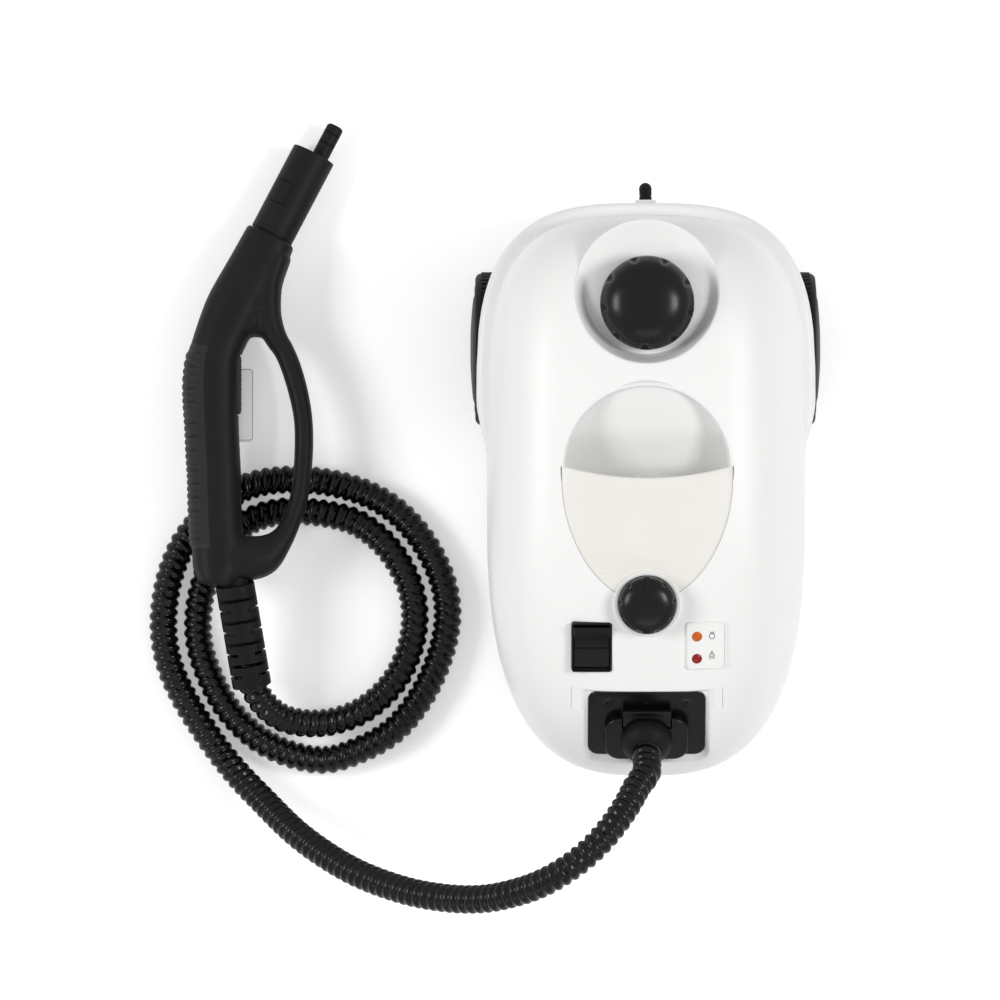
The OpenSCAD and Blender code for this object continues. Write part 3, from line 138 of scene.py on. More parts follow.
# Black nylon of the gun: spark texture, drawn at 0.7 mm so that it shows
black_nylon = moulded(
    "black_nylon", ("#131312", "#1A1A19"), (0.42, 0.58), 18, 0.7, 0.03, IOR=1.53, Specular_IOR_Level=0.1
)
# Soft PVC of the hose: black, smooth and shiny on its crests
hose_pvc = moulded(
    "black_pvc", ("#050505", "#09090A"), (0.14, 0.24), 12, 1.5, 0.008, IOR=1.54, Specular_IOR_Level=0.18
)
# Synthetic rubber of the grip pad, the sleeve and the tyres: dark grey, dull, slightly dusty
grey_rubber = moulded(
    "grey_rubber", ("#1E1E1F", "#272728"), (0.5, 0.64), 10, 0.9, 0.02, IOR=1.52, Specular_IOR_Level=0.15
)
black_rubber = moulded(
    "black_rubber", ("#0E0E0F", "#151516"), (0.46, 0.62), 14, 0.9, 0.02, IOR=1.52, Specular_IOR_Level=0.1
)
# Textured grey nylon of the trigger and the fittings
grey_nylon = moulded(
    "grey_nylon", ("#2A2B2C", "#363738"), (0.45, 0.6), 8, 0.9, 0.05, IOR=1.53, Specular_IOR_Level=0.15
)
# Silicone of the cap's seal
red_silicone = moulded("red_silicone", ("#8E2A1E", "#7A2016"), (0.5, 0.62), 8, 0.8, 0.01, IOR=1.41)
# Tinted polycarbonate of the two lamps, prismatic inside
amber_lens = moulded(
    "amber_polycarbonate", ("#DD6A14", "#B04408"), (0.16, 0.24), 2.2, 1.1, 0.05,
    IOR=1.58, Specular_IOR_Level=0.2,
)
red_lens = moulded(
    "red_polycarbonate", ("#A31316", "#6E0A0C"), (0.16, 0.24), 2.2, 1.1, 0.05,
    IOR=1.58, Specular_IOR_Level=0.2,
)
# Metals inside the casing
steel = metal("stainless_steel", ("#B9B9BA", "#A3A4A6"), (0.28, 0.4), 0.8, 0.004)
black_steel = metal("blackened_steel", ("#39393A", "#29292A"), (0.34, 0.46), 0.8, 0.004)
brass = metal("turned_brass", ("#C29A4E", "#AD8440"), (0.28, 0.38), 0.8, 0.004)
copper = metal("drawn_copper", ("#B8734C", "#A3613C"), (0.3, 0.42), 0.8, 0.004)

slot_finish = {
    "white_abs": white_abs,
    "white_panel": satin_abs,
    "cream_grip": cream_abs,
    "black_gloss": black_abs,
    "black_matte": black_nylon,
    "black_rubber": black_rubber,
    "grey_plastic": grey_nylon,
    "steel": steel,
    "brass": brass,
    "copper": copper,
    "red_seal": red_silicone,
    "amber_lens": amber_lens,
    "red_lens": red_lens,
}
for entry in frame["record"]["subparts"]:
    solid = frame["nodes"][entry["node"]]
    solid.data.materials.clear()
    solid.data.materials.append(slot_finish[entry["material_slot"]])


# Shapes, in millimetres


def tube(rings, loop=False, ends=True):
    """Points and faces through closed rings; a loop joins the last ring to the first."""
    n, m = len(rings[0]), len(rings)
    points = [p for ring in rings for p in ring]
    faces = []
    for j in range(m if loop else m - 1):
        a, b = j * n, (j + 1) % m * n
        faces += [(a + i, a + (i + 1) % n, b + (i + 1) % n, b + i) for i in range(n)]
    if ends and not loop:
        faces += [tuple(range(n - 1, -1, -1)), tuple(range((m - 1) * n, m * n))]
    return points, faces


def turned(profile, parts=96, scallop=None):
    """Points and faces of a (radius, height) profile turned about Z, scaled by scallop(angle, height)."""
    rings = []
    for r, z in profile:
        angles = [2 * math.pi * k / parts for k in range(parts)]
        reach = [r * (scallop(a, z) if scallop else 1) for a in angles]
        rings.append([(q * math.cos(a), q * math.sin(a), z) for q, a in zip(reach, angles)])
    return tube(rings)


def bent(points, centre, radius, first, last, parts):
    """Adds an arc to a profile."""
    for k in range(parts + 1):
        a = math.radians(first + (last - first) * k / parts)
        points.append((centre[0] + radius * math.cos(a), centre[1] + radius * math.sin(a)))
    return points


def rounded(w, l, r, parts=8):
    """Outline of a rectangle with round corners, anticlockwise."""
    out = []
    for k, (sx, sy) in enumerate(((1, 1), (-1, 1), (-1, -1), (1, -1))):
        bent(out, (sx * (w / 2 - r), sy * (l / 2 - r)), r, 90 * k, 90 * k + 90, parts)
    return out


def plate(outline, low, high, edge=0.6, parts=4):
    """Points and faces of an outline raised from low to high, with its top edge rounded over."""
    n = len(outline)
    out = []
    for i, p in enumerate(outline):
        a, b = Vector(outline[i - 1]), Vector(outline[(i + 1) % n])
        side = (b - a).normalized()
        out.append(Vector((side.y, -side.x)))
    rings = [[(p[0], p[1], low) for p in outline]]
    for k in range(parts + 1):
        a = math.pi / 2 * k / parts
        inset, z = edge * (1 - math.cos(a)), high - edge + edge * math.sin(a)
        rings.append([(p[0] - d.x * inset, p[1] - d.y * inset, z) for p, d in zip(outline, out)])
    return tube(rings)


def solid_object(name, shape, place=Matrix()):
    """A mesh object in metres at the origin, from points in millimetres and their place."""
    points, faces = shape
    mesh = bpy.data.meshes.new(name)
    mesh.from_pydata([(place @ Vector(p)) * MM for p in points], [], faces)
    made = bpy.data.objects.new(name, mesh)
    scene.collection.objects.link(made)
    shaped = bmesh.new()
    shaped.from_mesh(mesh)
    bmesh.ops.remove_doubles(shaped, verts=shaped.verts, dist=1e-7)
    bmesh.ops.recalc_face_normals(shaped, faces=shaped.faces)
    shaped.to_mesh(mesh)
    shaped.free()
    return made


def joined(name, shapes, place=Matrix()):
    """Several shapes as one object; a shape is (points, faces) or (points, faces, place)."""
    points, faces = [], []
    for shape in shapes:
        at = len(points)
        local = shape[2] if len(shape) > 2 else Matrix()
        points += [local @ Vector(p) for p in shape[0]]
        faces += [tuple(at + i for i in f) for f in shape[1]]
    return solid_object(name, (points, faces), place)


def carve(target, *tools, how="DIFFERENCE"):
    """Cuts tools out of an object, or adds or keeps them, and removes the tools."""
    for tool in tools:
        change = target.modifiers.new("carve", "BOOLEAN")
        change.operation, change.solver, change.object = how, "EXACT", tool
        bake(target)
        bpy.data.objects.remove(tool)
    return target


def bake(target):
    """Applies an object's modifiers to its mesh."""
    evaluated = target.evaluated_get(bpy.context.evaluated_depsgraph_get())
    mesh = bpy.data.meshes.new_from_object(evaluated)
    target.modifiers.clear()
    target.data = mesh
    return target


def settle(made, finish, body, slot, *nodes, crease=35):
    """Gives a finished piece its material, its smooth faces and sharp edges, its body and its nodes."""
    made.data.materials.clear()
    made.data.materials.append(finish)
    for face in made.data.polygons:
        face.use_smooth = True
        face.material_index = 0
    made.data.set_sharp_from_angle(angle=math.radians(crease))
    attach(made, body)
    if nodes:
        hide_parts(*nodes)
    return made


def shift(x, y, z):
    """A move, in millimetres."""
    return Matrix.Translation((x, y, z))


def spin(degrees, axis):
    """A turn about an axis through the origin."""
    return Matrix.Rotation(math.radians(degrees), 4, axis)


def curve_at(a, b, c, d, t):
    """Point at share t from b to c on a smooth curve through four points."""
    return (2 * b + (c - a) * t + (2 * a - 5 * b + 4 * c - d) * t**2 + (3 * b - a - 3 * c + d) * t**3) / 2


# The casing's curves, in millimetres from the middle of its foot

MACHINE = shift(90, -24.5, 0)
SEAM, CROWN, BASE = 102, 190, 24
WHEEL_Y, WHEEL_R = 88, 48.5
# Plan of the casing: half widths, where the two round ends start, how long they are, and how square
FRONT_HALF, FRONT_Y, FRONT_LONG, FRONT_POWER = 99.5, -7, 172, 2.8
REAR_HALF, REAR_Y, REAR_LONG, REAR_POWER = 106, 56, 123, 3.1
# Hood: highest at HOOD_Y, from where it falls over these lengths
HOOD_Y, HOOD_FRONT, HOOD_REAR = 10, 189, 161
# Wall of the casing, rounding of its foot, and how far the lower body stands out at the back
WALL, FOOT_R, REAR_STEP = 2.8, 6, 8


def rest_of(u, n, m):
    """What a rounded outline has left at share u of its reach."""
    return max(0.0, 1 - u**n) ** (1 / m)


def ease(t):
    """Soft step from 0 to 1."""
    t = min(max(t, 0), 1)
    return t * t * (3 - 2 * t)


def plan_half(y, inset=0, step=REAR_STEP):
    """Half width of the casing at y, inset all round and stepped in at the back."""
    front, rear = FRONT_HALF - inset, REAR_HALF - step - inset
    if y < FRONT_Y:
        return front * rest_of(min(1, (FRONT_Y - y) / (FRONT_LONG - inset)), FRONT_POWER, FRONT_POWER)
    if y > REAR_Y:
        return rear * rest_of(min(1, (y - REAR_Y) / (REAR_LONG - step - inset)), REAR_POWER, REAR_POWER)
    return front + (rear - front) * ease(((y - FRONT_Y) / (REAR_Y - FRONT_Y) - 0.4) / 0.6)


def fall(y, inset=0):
    """Share of the crown's height along the middle line."""
    if y < HOOD_Y:
        return rest_of(min(1, (HOOD_Y - y) / (HOOD_FRONT - inset)), 2.2, 2)
    return rest_of(min(1, (y - HOOD_Y) / (HOOD_REAR - inset)), 5, 2.8)


def hood_z(x, y, inset=0):
    """Height of the hood over a point of the plan."""
    w = plan_half(y, inset)
    return SEAM + (CROWN - inset - SEAM) * fall(y, inset) * rest_of(min(1, abs(x) / max(w, 1e-6)), 3, 3)


def hood_normal(x, y):
    """Direction square to the hood."""
    e = 0.05
    dx = (hood_z(x + e, y) - hood_z(x - e, y)) / (2 * e)
    dy = (hood_z(x, y + e) - hood_z(x, y - e)) / (2 * e)
    return Vector((-dx, -dy, 1)).normalized()


def on_hood(x, y):
    """Frame that lies on the hood, tilted as its middle line is there."""
    tilt = math.atan(hood_z(0, y + 0.5) - hood_z(0, y - 0.5))
    return MACHINE @ shift(x, y, hood_z(x, y)) @ Matrix.Rotation(tilt, 4, "X")


def spow(v, e):
    """Power that keeps the sign."""
    return math.copysign(abs(v) ** e, v)


def plan_ring(inset, step, parts=48):
    """Points round the casing's plan, anticlockwise, with the same count for each inset and step."""
    ring = []
    for k in range(parts):
        a = math.pi * k / parts
        across = (REAR_HALF - step - inset) * spow(math.cos(a), 2 / REAR_POWER)
        ring.append((across, REAR_Y + (REAR_LONG - step - inset) * math.sin(a) ** (2 / REAR_POWER)))
    sides = [REAR_Y - (REAR_Y - FRONT_Y) * k / 16 for k in range(17)]
    ring += [(-plan_half(y, inset, step), y) for y in sides[:-1]]
    for k in range(parts):
        a = math.pi + math.pi * k / parts
        across = (FRONT_HALF - inset) * spow(math.cos(a), 2 / FRONT_POWER)
        ring.append((across, FRONT_Y + (FRONT_LONG - inset) * spow(math.sin(a), 2 / FRONT_POWER)))
    ring += [(plan_half(y, inset, step), y) for y in reversed(sides[1:])]
    return ring


SOCKET = MACHINE @ shift(0, -149.5, hood_z(0, -149.5)) @ spin(40, "X")
PLUG = SOCKET @ shift(0, -8.5, -8)
GUN = shift(-118.5, 186.5, 14.4) @ spin(-6, "X")
NOSE = Vector((0.462, 0.887))
NOZZLE = GUN @ Matrix.Rotation(math.atan2(NOSE.y, NOSE.x), 4, "Z") @ spin(-90, "Y")
SLEEVE_AT, SLEEVE_DIR = Vector((-168, -84, 42.6)), Vector((0.162, -0.972, -0.172)).normalized()
SLEEVE = Matrix.Translation(SLEEVE_AT) @ SLEEVE_DIR.to_track_quat("Z", "Y").to_matrix().to_4x4()


# Hose: from the plug, down to the floor, twice round and up into the gun's sleeve

FLOOR = 9.4
hose_route = [
    (84, -208.5, 178), (77.5, -220, 188), (68.5, -233, 195.5), (57, -246, 199.8), (44, -257, 199),
    (28, -267, 192), (11, -274, 178.5), (-11, -279, 160), (-36, -279, 139), (-64, -274, 115),
    (-95, -262.5, 87), (-126, -243, 56), (-152, -219, 27), (-171, -199, 12.5), (-188, -176, FLOOR),
    (-202, -153, FLOOR), (-210.5, -132, FLOOR), (-213.5, -110, FLOOR), (-211, -86, FLOOR),
    (-204, -65, FLOOR), (-194, -49, FLOOR), (-179, -34, FLOOR), (-161, -23, FLOOR),
    (-138, -18.5, FLOOR), (-111, -20, FLOOR), (-86, -27, FLOOR), (-66, -39, FLOOR),
    (-50, -57, FLOOR), (-39, -78, FLOOR), (-34.5, -98, FLOOR), (-36, -118, FLOOR),
    (-43, -140, FLOOR), (-54, -160, FLOOR), (-69, -177, FLOOR), (-88, -188, FLOOR),
    (-110, -195, FLOOR), (-132, -192, FLOOR), (-154, -181.5, FLOOR), (-172, -164, FLOOR),
    (-184, -143, FLOOR), (-191, -121, FLOOR), (-191, -98, FLOOR), (-185, -76, FLOOR),
    (-174, -57, FLOOR), (-158, -44, FLOOR), (-138, -38.5, FLOOR), (-114, -39.5, FLOOR),
    (-93, -45, FLOOR), (-77, -56, FLOOR), (-65, -71, FLOOR), (-57, -89, FLOOR),
    (-55, -108, FLOOR), (-59, -128, FLOOR), (-69, -147, FLOOR), (-85, -162, FLOOR),
    (-103, -170, 11), (-121, -172, 16), (-138, -168.5, 22.5), (-150, -159, 28),
]
HOSE_D = 18.4
panel_normal = SOCKET.to_3x3() @ Vector((0, 0, 1))
hose_start = PLUG @ Vector((0, 0, 20))
hose_end = SLEEVE_AT + SLEEVE_DIR * 44
hose_line = [hose_start, hose_start + panel_normal * HOSE_D, *[Vector(p) for p in hose_route]]
hose_line += [hose_end + SLEEVE_DIR * HOSE_D, hose_end]


def smooth_line(points, step):
    """Points a step apart on a smooth curve through given points, straight at both ends."""
    dense = [points[0]]
    for i in range(1, len(points) - 2):
        a, b, c, d = points[i - 1 : i + 3]
        for k in range(12):
            t = k / 12
            dense.append(curve_at(a, b, c, d, t))
    dense += points[-2:]
    run = [0]
    for a, b in zip(dense, dense[1:]):
        run.append(run[-1] + (b - a).length)
    count = round(run[-1] / step)
    out, at = [], 0
    for k in range(count + 1):
        s = run[-1] * k / count
        while at < len(run) - 2 and run[at + 1] < s:
            at += 1
        out.append(dense[at].lerp(dense[at + 1], (s - run[at]) / max(run[at + 1] - run[at], 1e-9)))
    return out, run[-1]


def hose_shape(line, length):
    """A tube with one raised thread wound along it, which reads as slanting ribs."""
    parts, pitch, deep = 24, 6.1, 2.2
    step = length / (len(line) - 1)
    rings, side = [], None
    for i, p in enumerate(line):
        ahead = (line[min(i + 1, len(line) - 1)] - line[max(i - 1, 0)]).normalized()
        side = (side - ahead * side.dot(ahead) if side else ahead.cross(Vector((0, 0, 1)))).normalized()
        up = side.cross(ahead)
        still = min(1, i * step / 8, (length - i * step) / 8)
        ring = []
        for k in range(parts):
            a = 2 * math.pi * k / parts
            turn = (i * step / pitch - k / parts) % 1
            crest = math.sin(math.pi * turn) ** 0.85
            r = HOSE_D / 2 - 0.1 - deep * (1 - crest) * (0.4 + 0.6 * still)
            ring.append(p + side * r * math.cos(a) + up * r * math.sin(a))
        rings.append(ring)
    return tube(rings)


hose_points, hose_length = smooth_line(hose_line, 1.0)
hose = solid_object("hose", hose_shape(hose_points, hose_length))
settle(hose, hose_pvc, "casing", "black_rubber", "hose", crease=80)


# Hood


def shell_normals(made):
    """Sets the hood's shading from its formula, so that cuts leave no marks on the gloss."""
    mesh = made.data
    normals = []
    for face in mesh.polygons:
        for i in face.loop_indices:
            p = mesh.vertices[mesh.loops[i].vertex_index].co / MM
            x, y = p.x - MACHINE.translation.x, p.y - MACHINE.translation.y
            smooth = face.normal
            if abs(x) < plan_half(y) - 0.3 and abs(p.z - hood_z(x, y)) < 0.05:
                true = hood_normal(x, y)
                if true.dot(face.normal) > 0.8:
                    smooth = true
            normals.append(smooth)
    mesh.normals_split_custom_set(normals)


def hood_rings(inset, low, stations=150, parts=110):
    """Sections of the hood from front to back, each down to the low level."""
    rings = []
    for j in range(stations + 1):
        b = math.radians(-89.4 + 178.8 * j / stations)
        reach = (HOOD_FRONT if b < 0 else HOOD_REAR) - inset
        y = HOOD_Y + reach * spow(math.sin(b), 0.9)
        w, h = plan_half(y, inset), (CROWN - inset - SEAM) * fall(y, inset)
        ring = [(-w, y, low)]
        for k in range(parts + 1):
            a = math.pi * k / parts
            ring.append((-w * spow(math.cos(a), 2 / 3), y, SEAM + h * math.sin(a) ** (2 / 3)))
        ring.append((w, y, low))
        rings.append(ring)
    return rings


SCOOP_AT, SCOOP_R, SCOOP_LIP = (0, 12.5), 51.5, 2.2
GRIP_BACK, GRIP_BOW, GRIP_L, GRIP_HALF, GRIP_Y = 7, 7, 74, 53, 4


def grip_back(x):
    """The grip's bowed back edge."""
    return GRIP_BACK + GRIP_BOW * (x / SCOOP_R) ** 2


def grip_outline(grow):
    """Outline of the grip, anticlockwise: bowed at the back, drawn to the knob at the front."""
    out = []
    for k in range(41):
        x = (SCOOP_R + grow) * (1 - k / 20)
        out.append((x, grip_back(x) + grow))
    edge = []
    for k in range(31):
        b = math.radians(74 * k / 30)
        edge.append((GRIP_HALF * math.sqrt(1 - math.sin(b) ** 1.8) + grow, GRIP_Y - GRIP_L * math.sin(b)))
    return out + [(-x, y) for x, y in edge] + list(reversed(edge))


def prism(outline, low, high):
    """Points and faces of an outline raised from low to high."""
    return tube([[(x, y, low) for x, y in outline], [(x, y, high) for x, y in outline]])


hood = solid_object("hood", tube(hood_rings(0, SEAM)), MACHINE)
carve(hood, solid_object("inside", tube(hood_rings(WALL, SEAM - 1, 60, 50)), MACHINE))
scoop_cut = bent([], SCOOP_AT, SCOOP_R + SCOOP_LIP, -8, 188, 90)
carve(
    hood,
    solid_object("scoop_cut", prism(scoop_cut, 140, 200), MACHINE),
    solid_object("grip_cut", prism(grip_outline(0.1), 140, 200), MACHINE),
)
DISH_AT, DISH_R, DISH_FLOOR = (0, 122.5), 45, 175
KNOB = on_hood(0, -71)
SWITCH = on_hood(-34.4, -98)
lamps_roll = math.atan(hood_z(36.7, -97) - hood_z(35.7, -97))
LAMPS = on_hood(36.2, -97) @ Matrix.Rotation(-lamps_roll, 4, "Y")
CAP = MACHINE @ shift(0, 115.5, 178)


def round_tool(name, r, low, high, place):
    """A cylinder to cut with."""
    return solid_object(name, prism(bent([], (0, 0), r, 0, 357, 119), low, high), place)


carve(hood, round_tool("dish_cut", DISH_R + 0.04, -60, 60, MACHINE @ shift(*DISH_AT, 150)))
carve(hood, round_tool("knob_cut", 12.5, -20, 20, KNOB))
carve(hood, solid_object("switch_cut", prism(rounded(25.4, 32.4, 2), -20, 20), SWITCH))

# Recess of the hose socket: half its width, and the size of its ears
RECESS_W, EAR_W, EAR_H = 39.4, 7.6, 14


def socket_outline(grow, ears):
    """Outline of the hose socket's recess, with an ear at each top corner."""
    w, top, low, r = RECESS_W + grow, 27.5 + grow, -31 - grow, 10
    out = []
    bent(out, (w - r, low + r), r, 0, -90, 8)
    bent(out, (-w + r, low + r), r, -90, -180, 8)
    if ears:
        ear, foot = w + EAR_W, top - EAR_H - 2 * grow
        out += [(-w, foot), (-ear, foot), (-ear, top), (ear, top), (ear, foot), (w, foot)]
    else:
        out += [(-w, top), (w, top)]
    return list(reversed(out))


carve(hood, solid_object("socket_cut", prism(socket_outline(0.2, True), -40, 40), SOCKET))
shell_normals(settle(hood, white_abs, "casing", "white_abs", "hood", crease=60))


# Lower body: a tub with a rounded foot, a ledge round the hood and a cup for each wheel


def foot_ring(k, inset):
    """A ring of the rounded foot, 15 degrees further up for each k."""
    a = math.radians(15 * k)
    z = BASE + FOOT_R * (1 - math.cos(a))
    return [(x, y, z) for x, y in plan_ring(inset + FOOT_R * (1 - math.sin(a)), 0)]


def tub_rings():
    """Up the outside, over the ledge and down the inside."""
    outer, stepped = plan_ring(0, 0), plan_ring(0, REAR_STEP)
    steps = [Vector(b) - Vector(a) for a, b in zip(outer, stepped)]
    ledge = [min(4.5, 0.6 * d.length) for d in steps]
    inward = [d.normalized() if f > 0.01 else Vector((0, 0)) for d, f in zip(steps, ledge)]
    rings = [foot_ring(k, 0) for k in range(7)]
    for z in (45, 62, 80):
        rings.append([(x, y, z) for x, y in outer])
    for k in range(7):
        a = math.radians(15 * k)
        ring = []
        for (x, y), d, f in zip(outer, inward, ledge):
            back = f * (1 - math.cos(a))
            ring.append((x + d.x * back, y + d.y * back, SEAM - f * (1 - math.sin(a))))
        rings.append(ring)
    for z in (SEAM, SEAM - WALL):
        rings.append([(x, y, z) for x, y in plan_ring(6.8, REAR_STEP)])
    rings.append([(x, y, SEAM - WALL) for x, y in plan_ring(WALL, 0)])
    return rings + [foot_ring(k, WALL) for k in (6, 4, 2, 0)]


lower_body = solid_object("lower_body", tube(tub_rings(), loop=True), MACHINE)
cups = [MACHINE @ shift(s * 86, WHEEL_Y, WHEEL_R) @ spin(90, "Y") for s in (-1, 1)]
for side, place in zip((-1, 1), cups):
    housing = round_tool("housing", 53.3, *((-WALL, 40) if side > 0 else (-40, WALL)), place)
    within = solid_object("within", prism(plan_ring(1.96, 0), BASE + 2, SEAM - 1.4), MACHINE)
    carve(housing, within, how="INTERSECT")
    carve(lower_body, housing, how="UNION")
    carve(lower_body, round_tool("cup", 50.5, *((0, 60) if side > 0 else (-60, 0)), place))
carve(lower_body, round_tool("gland_hole", 4.1, -20, 20, MACHINE @ shift(0, 179, 62) @ spin(90, "X")))
settle(lower_body, white_abs, "casing", "white_abs", "lower_body", crease=40)


# Filler dish: level floor, a wall that slopes up to the hood in front and stands free behind


def dish_shape():
    """Floor, slope, rolled lip, outer wall down to its foot, and back underneath."""
    parts, rings = 160, []
    angles = [2 * math.pi * k / parts for k in range(parts)]
    top = []
    for a in angles:
        h = hood_z(DISH_R * math.cos(a), DISH_AT[1] + DISH_R * math.sin(a)) - (DISH_FLOOR + 1.2)
        top.append(DISH_FLOOR + 1.2 + 0.8 * math.log1p(math.exp(h / 0.8)))

    def ring(r, heights):
        rings.append([(r * math.cos(a), r * math.sin(a), z) for a, z in zip(angles, heights)])

    for r in (0.01, 22, 30, 35):
        ring(r, [DISH_FLOOR] * parts)
    for k in range(11):
        t = k / 10
        soft = t + 0.28 * t * (1 - t) * (2 * t - 1)
        ring(38.6 + 5.9 * t, [DISH_FLOOR + (z - DISH_FLOOR) * soft for z in top])
    lip = 0.5
    for k in range(1, 7):
        b = math.radians(90 - 15 * k)
        ring(DISH_R - lip + lip * math.cos(b), [z - lip + lip * math.sin(b) for z in top])
    for r, z in ((DISH_R, 126), (42, 126), (42, DISH_FLOOR - 3), (0.01, DISH_FLOOR - 3)):
        ring(r, [z] * parts)
    return tube(rings, loop=True)


filler_dish = solid_object("filler_dish", dish_shape(), MACHINE @ shift(*DISH_AT, 0))
carve(filler_dish, round_tool("neck_hole", 21.2, -30, 30, MACHINE @ shift(0, 115.5, 175)))
settle(filler_dish, white_abs, "casing", "white_abs", "filler_dish", crease=45)


# Hand scoop: a round mouth with a soft lip, and a floor that falls forward under the grip


def scoop_floor(y):
    """Level in front, then rising to the back."""
    return max(150, 150 + (y - 5.5) * math.tan(math.radians(33.5)))


def scoop_shape():
    """Floor, rounded corner, and the wall up to the lip, or to the grip's underside."""
    parts, rings = 180, []
    angles = [2 * math.pi * k / parts for k in range(parts)]

    def spot(a, r):
        return r * math.cos(a), SCOOP_AT[1] + r * math.sin(a)

    def wall(a):
        return min(SCOOP_R, 34 / max(1e-6, -math.sin(a))) if math.sin(a) < 0 else SCOOP_R

    for share in (0.001, 0.25, 0.5, 0.75, 0.9, 0.97):
        ring = []
        for a in angles:
            x, y = spot(a, wall(a) * share)
            ring.append((x, y, scoop_floor(y)))
        rings.append(ring)
    for k in range(1, 6):
        b = math.pi / 2 * k / 5
        ring = []
        for a in angles:
            r = wall(a)
            x, y = spot(a, r - 1.5 * (1 - math.sin(b)))
            ring.append((x, y, scoop_floor(y) + 1.5 * (1 - math.cos(b)) - 0.05))
        rings.append(ring)
    for k in range(8):
        b = math.pi / 2 * k / 7
        ring = []
        for a in angles:
            r = wall(a)
            x, y = spot(a, r)
            open_top = y > grip_back(x) - 1
            lip = SCOOP_LIP if open_top else 0
            x, y = spot(a, r + lip * (1 - math.cos(b)))
            z = hood_z(x, y) - (lip * (1 - math.sin(b)) if open_top else 3.4)
            ring.append((x, y, max(z, scoop_floor(y) + 1.5)))
        rings.append(ring)
    return tube(rings, ends=False)


hand_well = solid_object("hand_well", scoop_shape(), MACHINE)
hand_well.modifiers.new("wall", "SOLIDIFY").thickness = 0.0022
hand_well.modifiers["wall"].offset = -1
settle(bake(hand_well), white_abs, "casing", "white_abs", "hand_well", crease=50)


# Carry grip: follows the hood, with shallow grooves across it


def grip_shape():
    """The grip's upper face, with its edges rounded down."""
    across, along, points, faces = 60, 150, [], []
    for j in range(along + 1):
        t = j / along
        for i in range(across + 1):
            s = 2 * i / across - 1
            x = 50 * s
            for _ in range(4):
                y = GRIP_BACK - GRIP_L * t + GRIP_BOW * (1 - t) ** 2 * (x / SCOOP_R) ** 2
                sin_b = min(max((GRIP_Y - y) / GRIP_L, 0), 1)
                x = s * GRIP_HALF * math.sqrt(1 - sin_b**1.8)
            line = abs((t * GRIP_L + 3) % 7.4 - 3.7)
            groove = 0.35 * max(0, 1 - line / 0.9) ** 2 * min(1, (1 - abs(s)) * 12)
            edge = max(0, (abs(s) - 0.97) / 0.03, (0.012 - t) / 0.012, (t - 0.985) / 0.015)
            drop = 0.9 * (1 - math.sqrt(max(0, 1 - min(1, edge) ** 2)))
            points.append((x, y, hood_z(x, y) + 0.1 - groove - drop))
    for j in range(along):
        for i in range(across):
            a = j * (across + 1) + i
            faces.append((a, a + across + 1, a + across + 2, a + 1))
    return points, faces


grip = solid_object("carry_grip", grip_shape(), MACHINE)
if sum(f.normal.z for f in grip.data.polygons) < 0:
    grip.data.flip_normals()
grip.modifiers.new("wall", "SOLIDIFY").thickness = 0.003
grip.modifiers["wall"].offset = -1
settle(bake(grip), cream_abs, "casing", "cream_grip", "grip_insert", crease=50)


# Controls, let into the hood


def hoop(profile, parts=96):
    """Points and faces of a closed profile of (radius, height) turned about Z."""
    angles = [2 * math.pi * k / parts for k in range(parts)]
    return tube([[(r * math.cos(a), r * math.sin(a), z) for a in angles] for r, z in profile], loop=True)


def dimpled(r, h, skirt, count, deep, inner, roof, first):
    """A domed hand wheel: plain skirt, round shoulder, and shallow finger dimples on the shoulder."""
    profile = [(0.01, roof), (inner, roof), (inner, 0), (r - 0.8, 0)]
    bent(profile, (r - 0.8, 0.8), 0.8, -90, 0, 4)
    for k in range(49):
        b = math.pi / 2 * k / 48
        profile.append((max(r * math.cos(b) ** 0.74, 0.01), skirt + (h - skirt) * math.sin(b)))

    def pressed(a, z):
        near = (math.cos(count * (a - first)) * 0.5 + 0.5) ** 7
        up = (z - skirt) / (h - skirt)
        return 1 - deep / r * near * ease(up / 0.16) * (1 - ease((up - 0.3) / 0.34))

    return turned(profile, 216, pressed)


ring = bent([(6.3, -10), (12, -10), (12, -2.5), (20.9, -2.5)], (20.1, 0.9), 0.8, 0, 90, 5)
ring = bent(ring, (18.7, 1.3), 0.4, 90, 180, 3) + [(18.3, 0.7), (6.3, 0.7)]
settle(solid_object("knob_bezel", hoop(ring), KNOB), white_abs, "casing", "white_abs", "knob_bezel")

knob_parts = [dimpled(18, 15.2, 6.5, 9, 1.2, 3.1, 10, 0.2)]
knob_parts[0] = ([(x, y, z + 1.8 if z < 0.5 else z) for x, y, z in knob_parts[0][0]], knob_parts[0][1])
pointer = []
for y in (7.6, 8, 10, 12, 14, 15.5, 16.6, 17.4, 18, 18.8):
    top = 6.5 + 8.7 * math.sin(math.acos(min(1, (y / 18) ** (1 / 0.74)))) + (1.5 if y > 7.6 else 0)
    edge = [(0.75, 5), (0.75, top - 0.3), (0.4, top), (-0.4, top), (-0.75, top - 0.3)]
    pointer.append([(x, y, z) for x, z in [(-0.75, 5), *edge]])
knob_parts.append(tube(pointer))
settle(joined("pressure_knob", knob_parts, KNOB), black_abs, "knob", "black_gloss", "pressure_knob")

cap_shape = dimpled(29.2, 27, 9, 9, 2.3, 21.7, 8.4, math.radians(27))
settle(solid_object("boiler_cap", cap_shape, CAP), black_abs, "cap", "black_gloss", "boiler_cap")

switch_frame = solid_object("switch_bezel", plate(rounded(25, 32, 1.8), -16, 1.6, 0.8), SWITCH)
carve(switch_frame, solid_object("switch_well", prism(rounded(22.8, 29.8, 1), -14, 5), SWITCH))
settle(switch_frame, black_abs, "casing", "black_gloss", "switch_bezel")


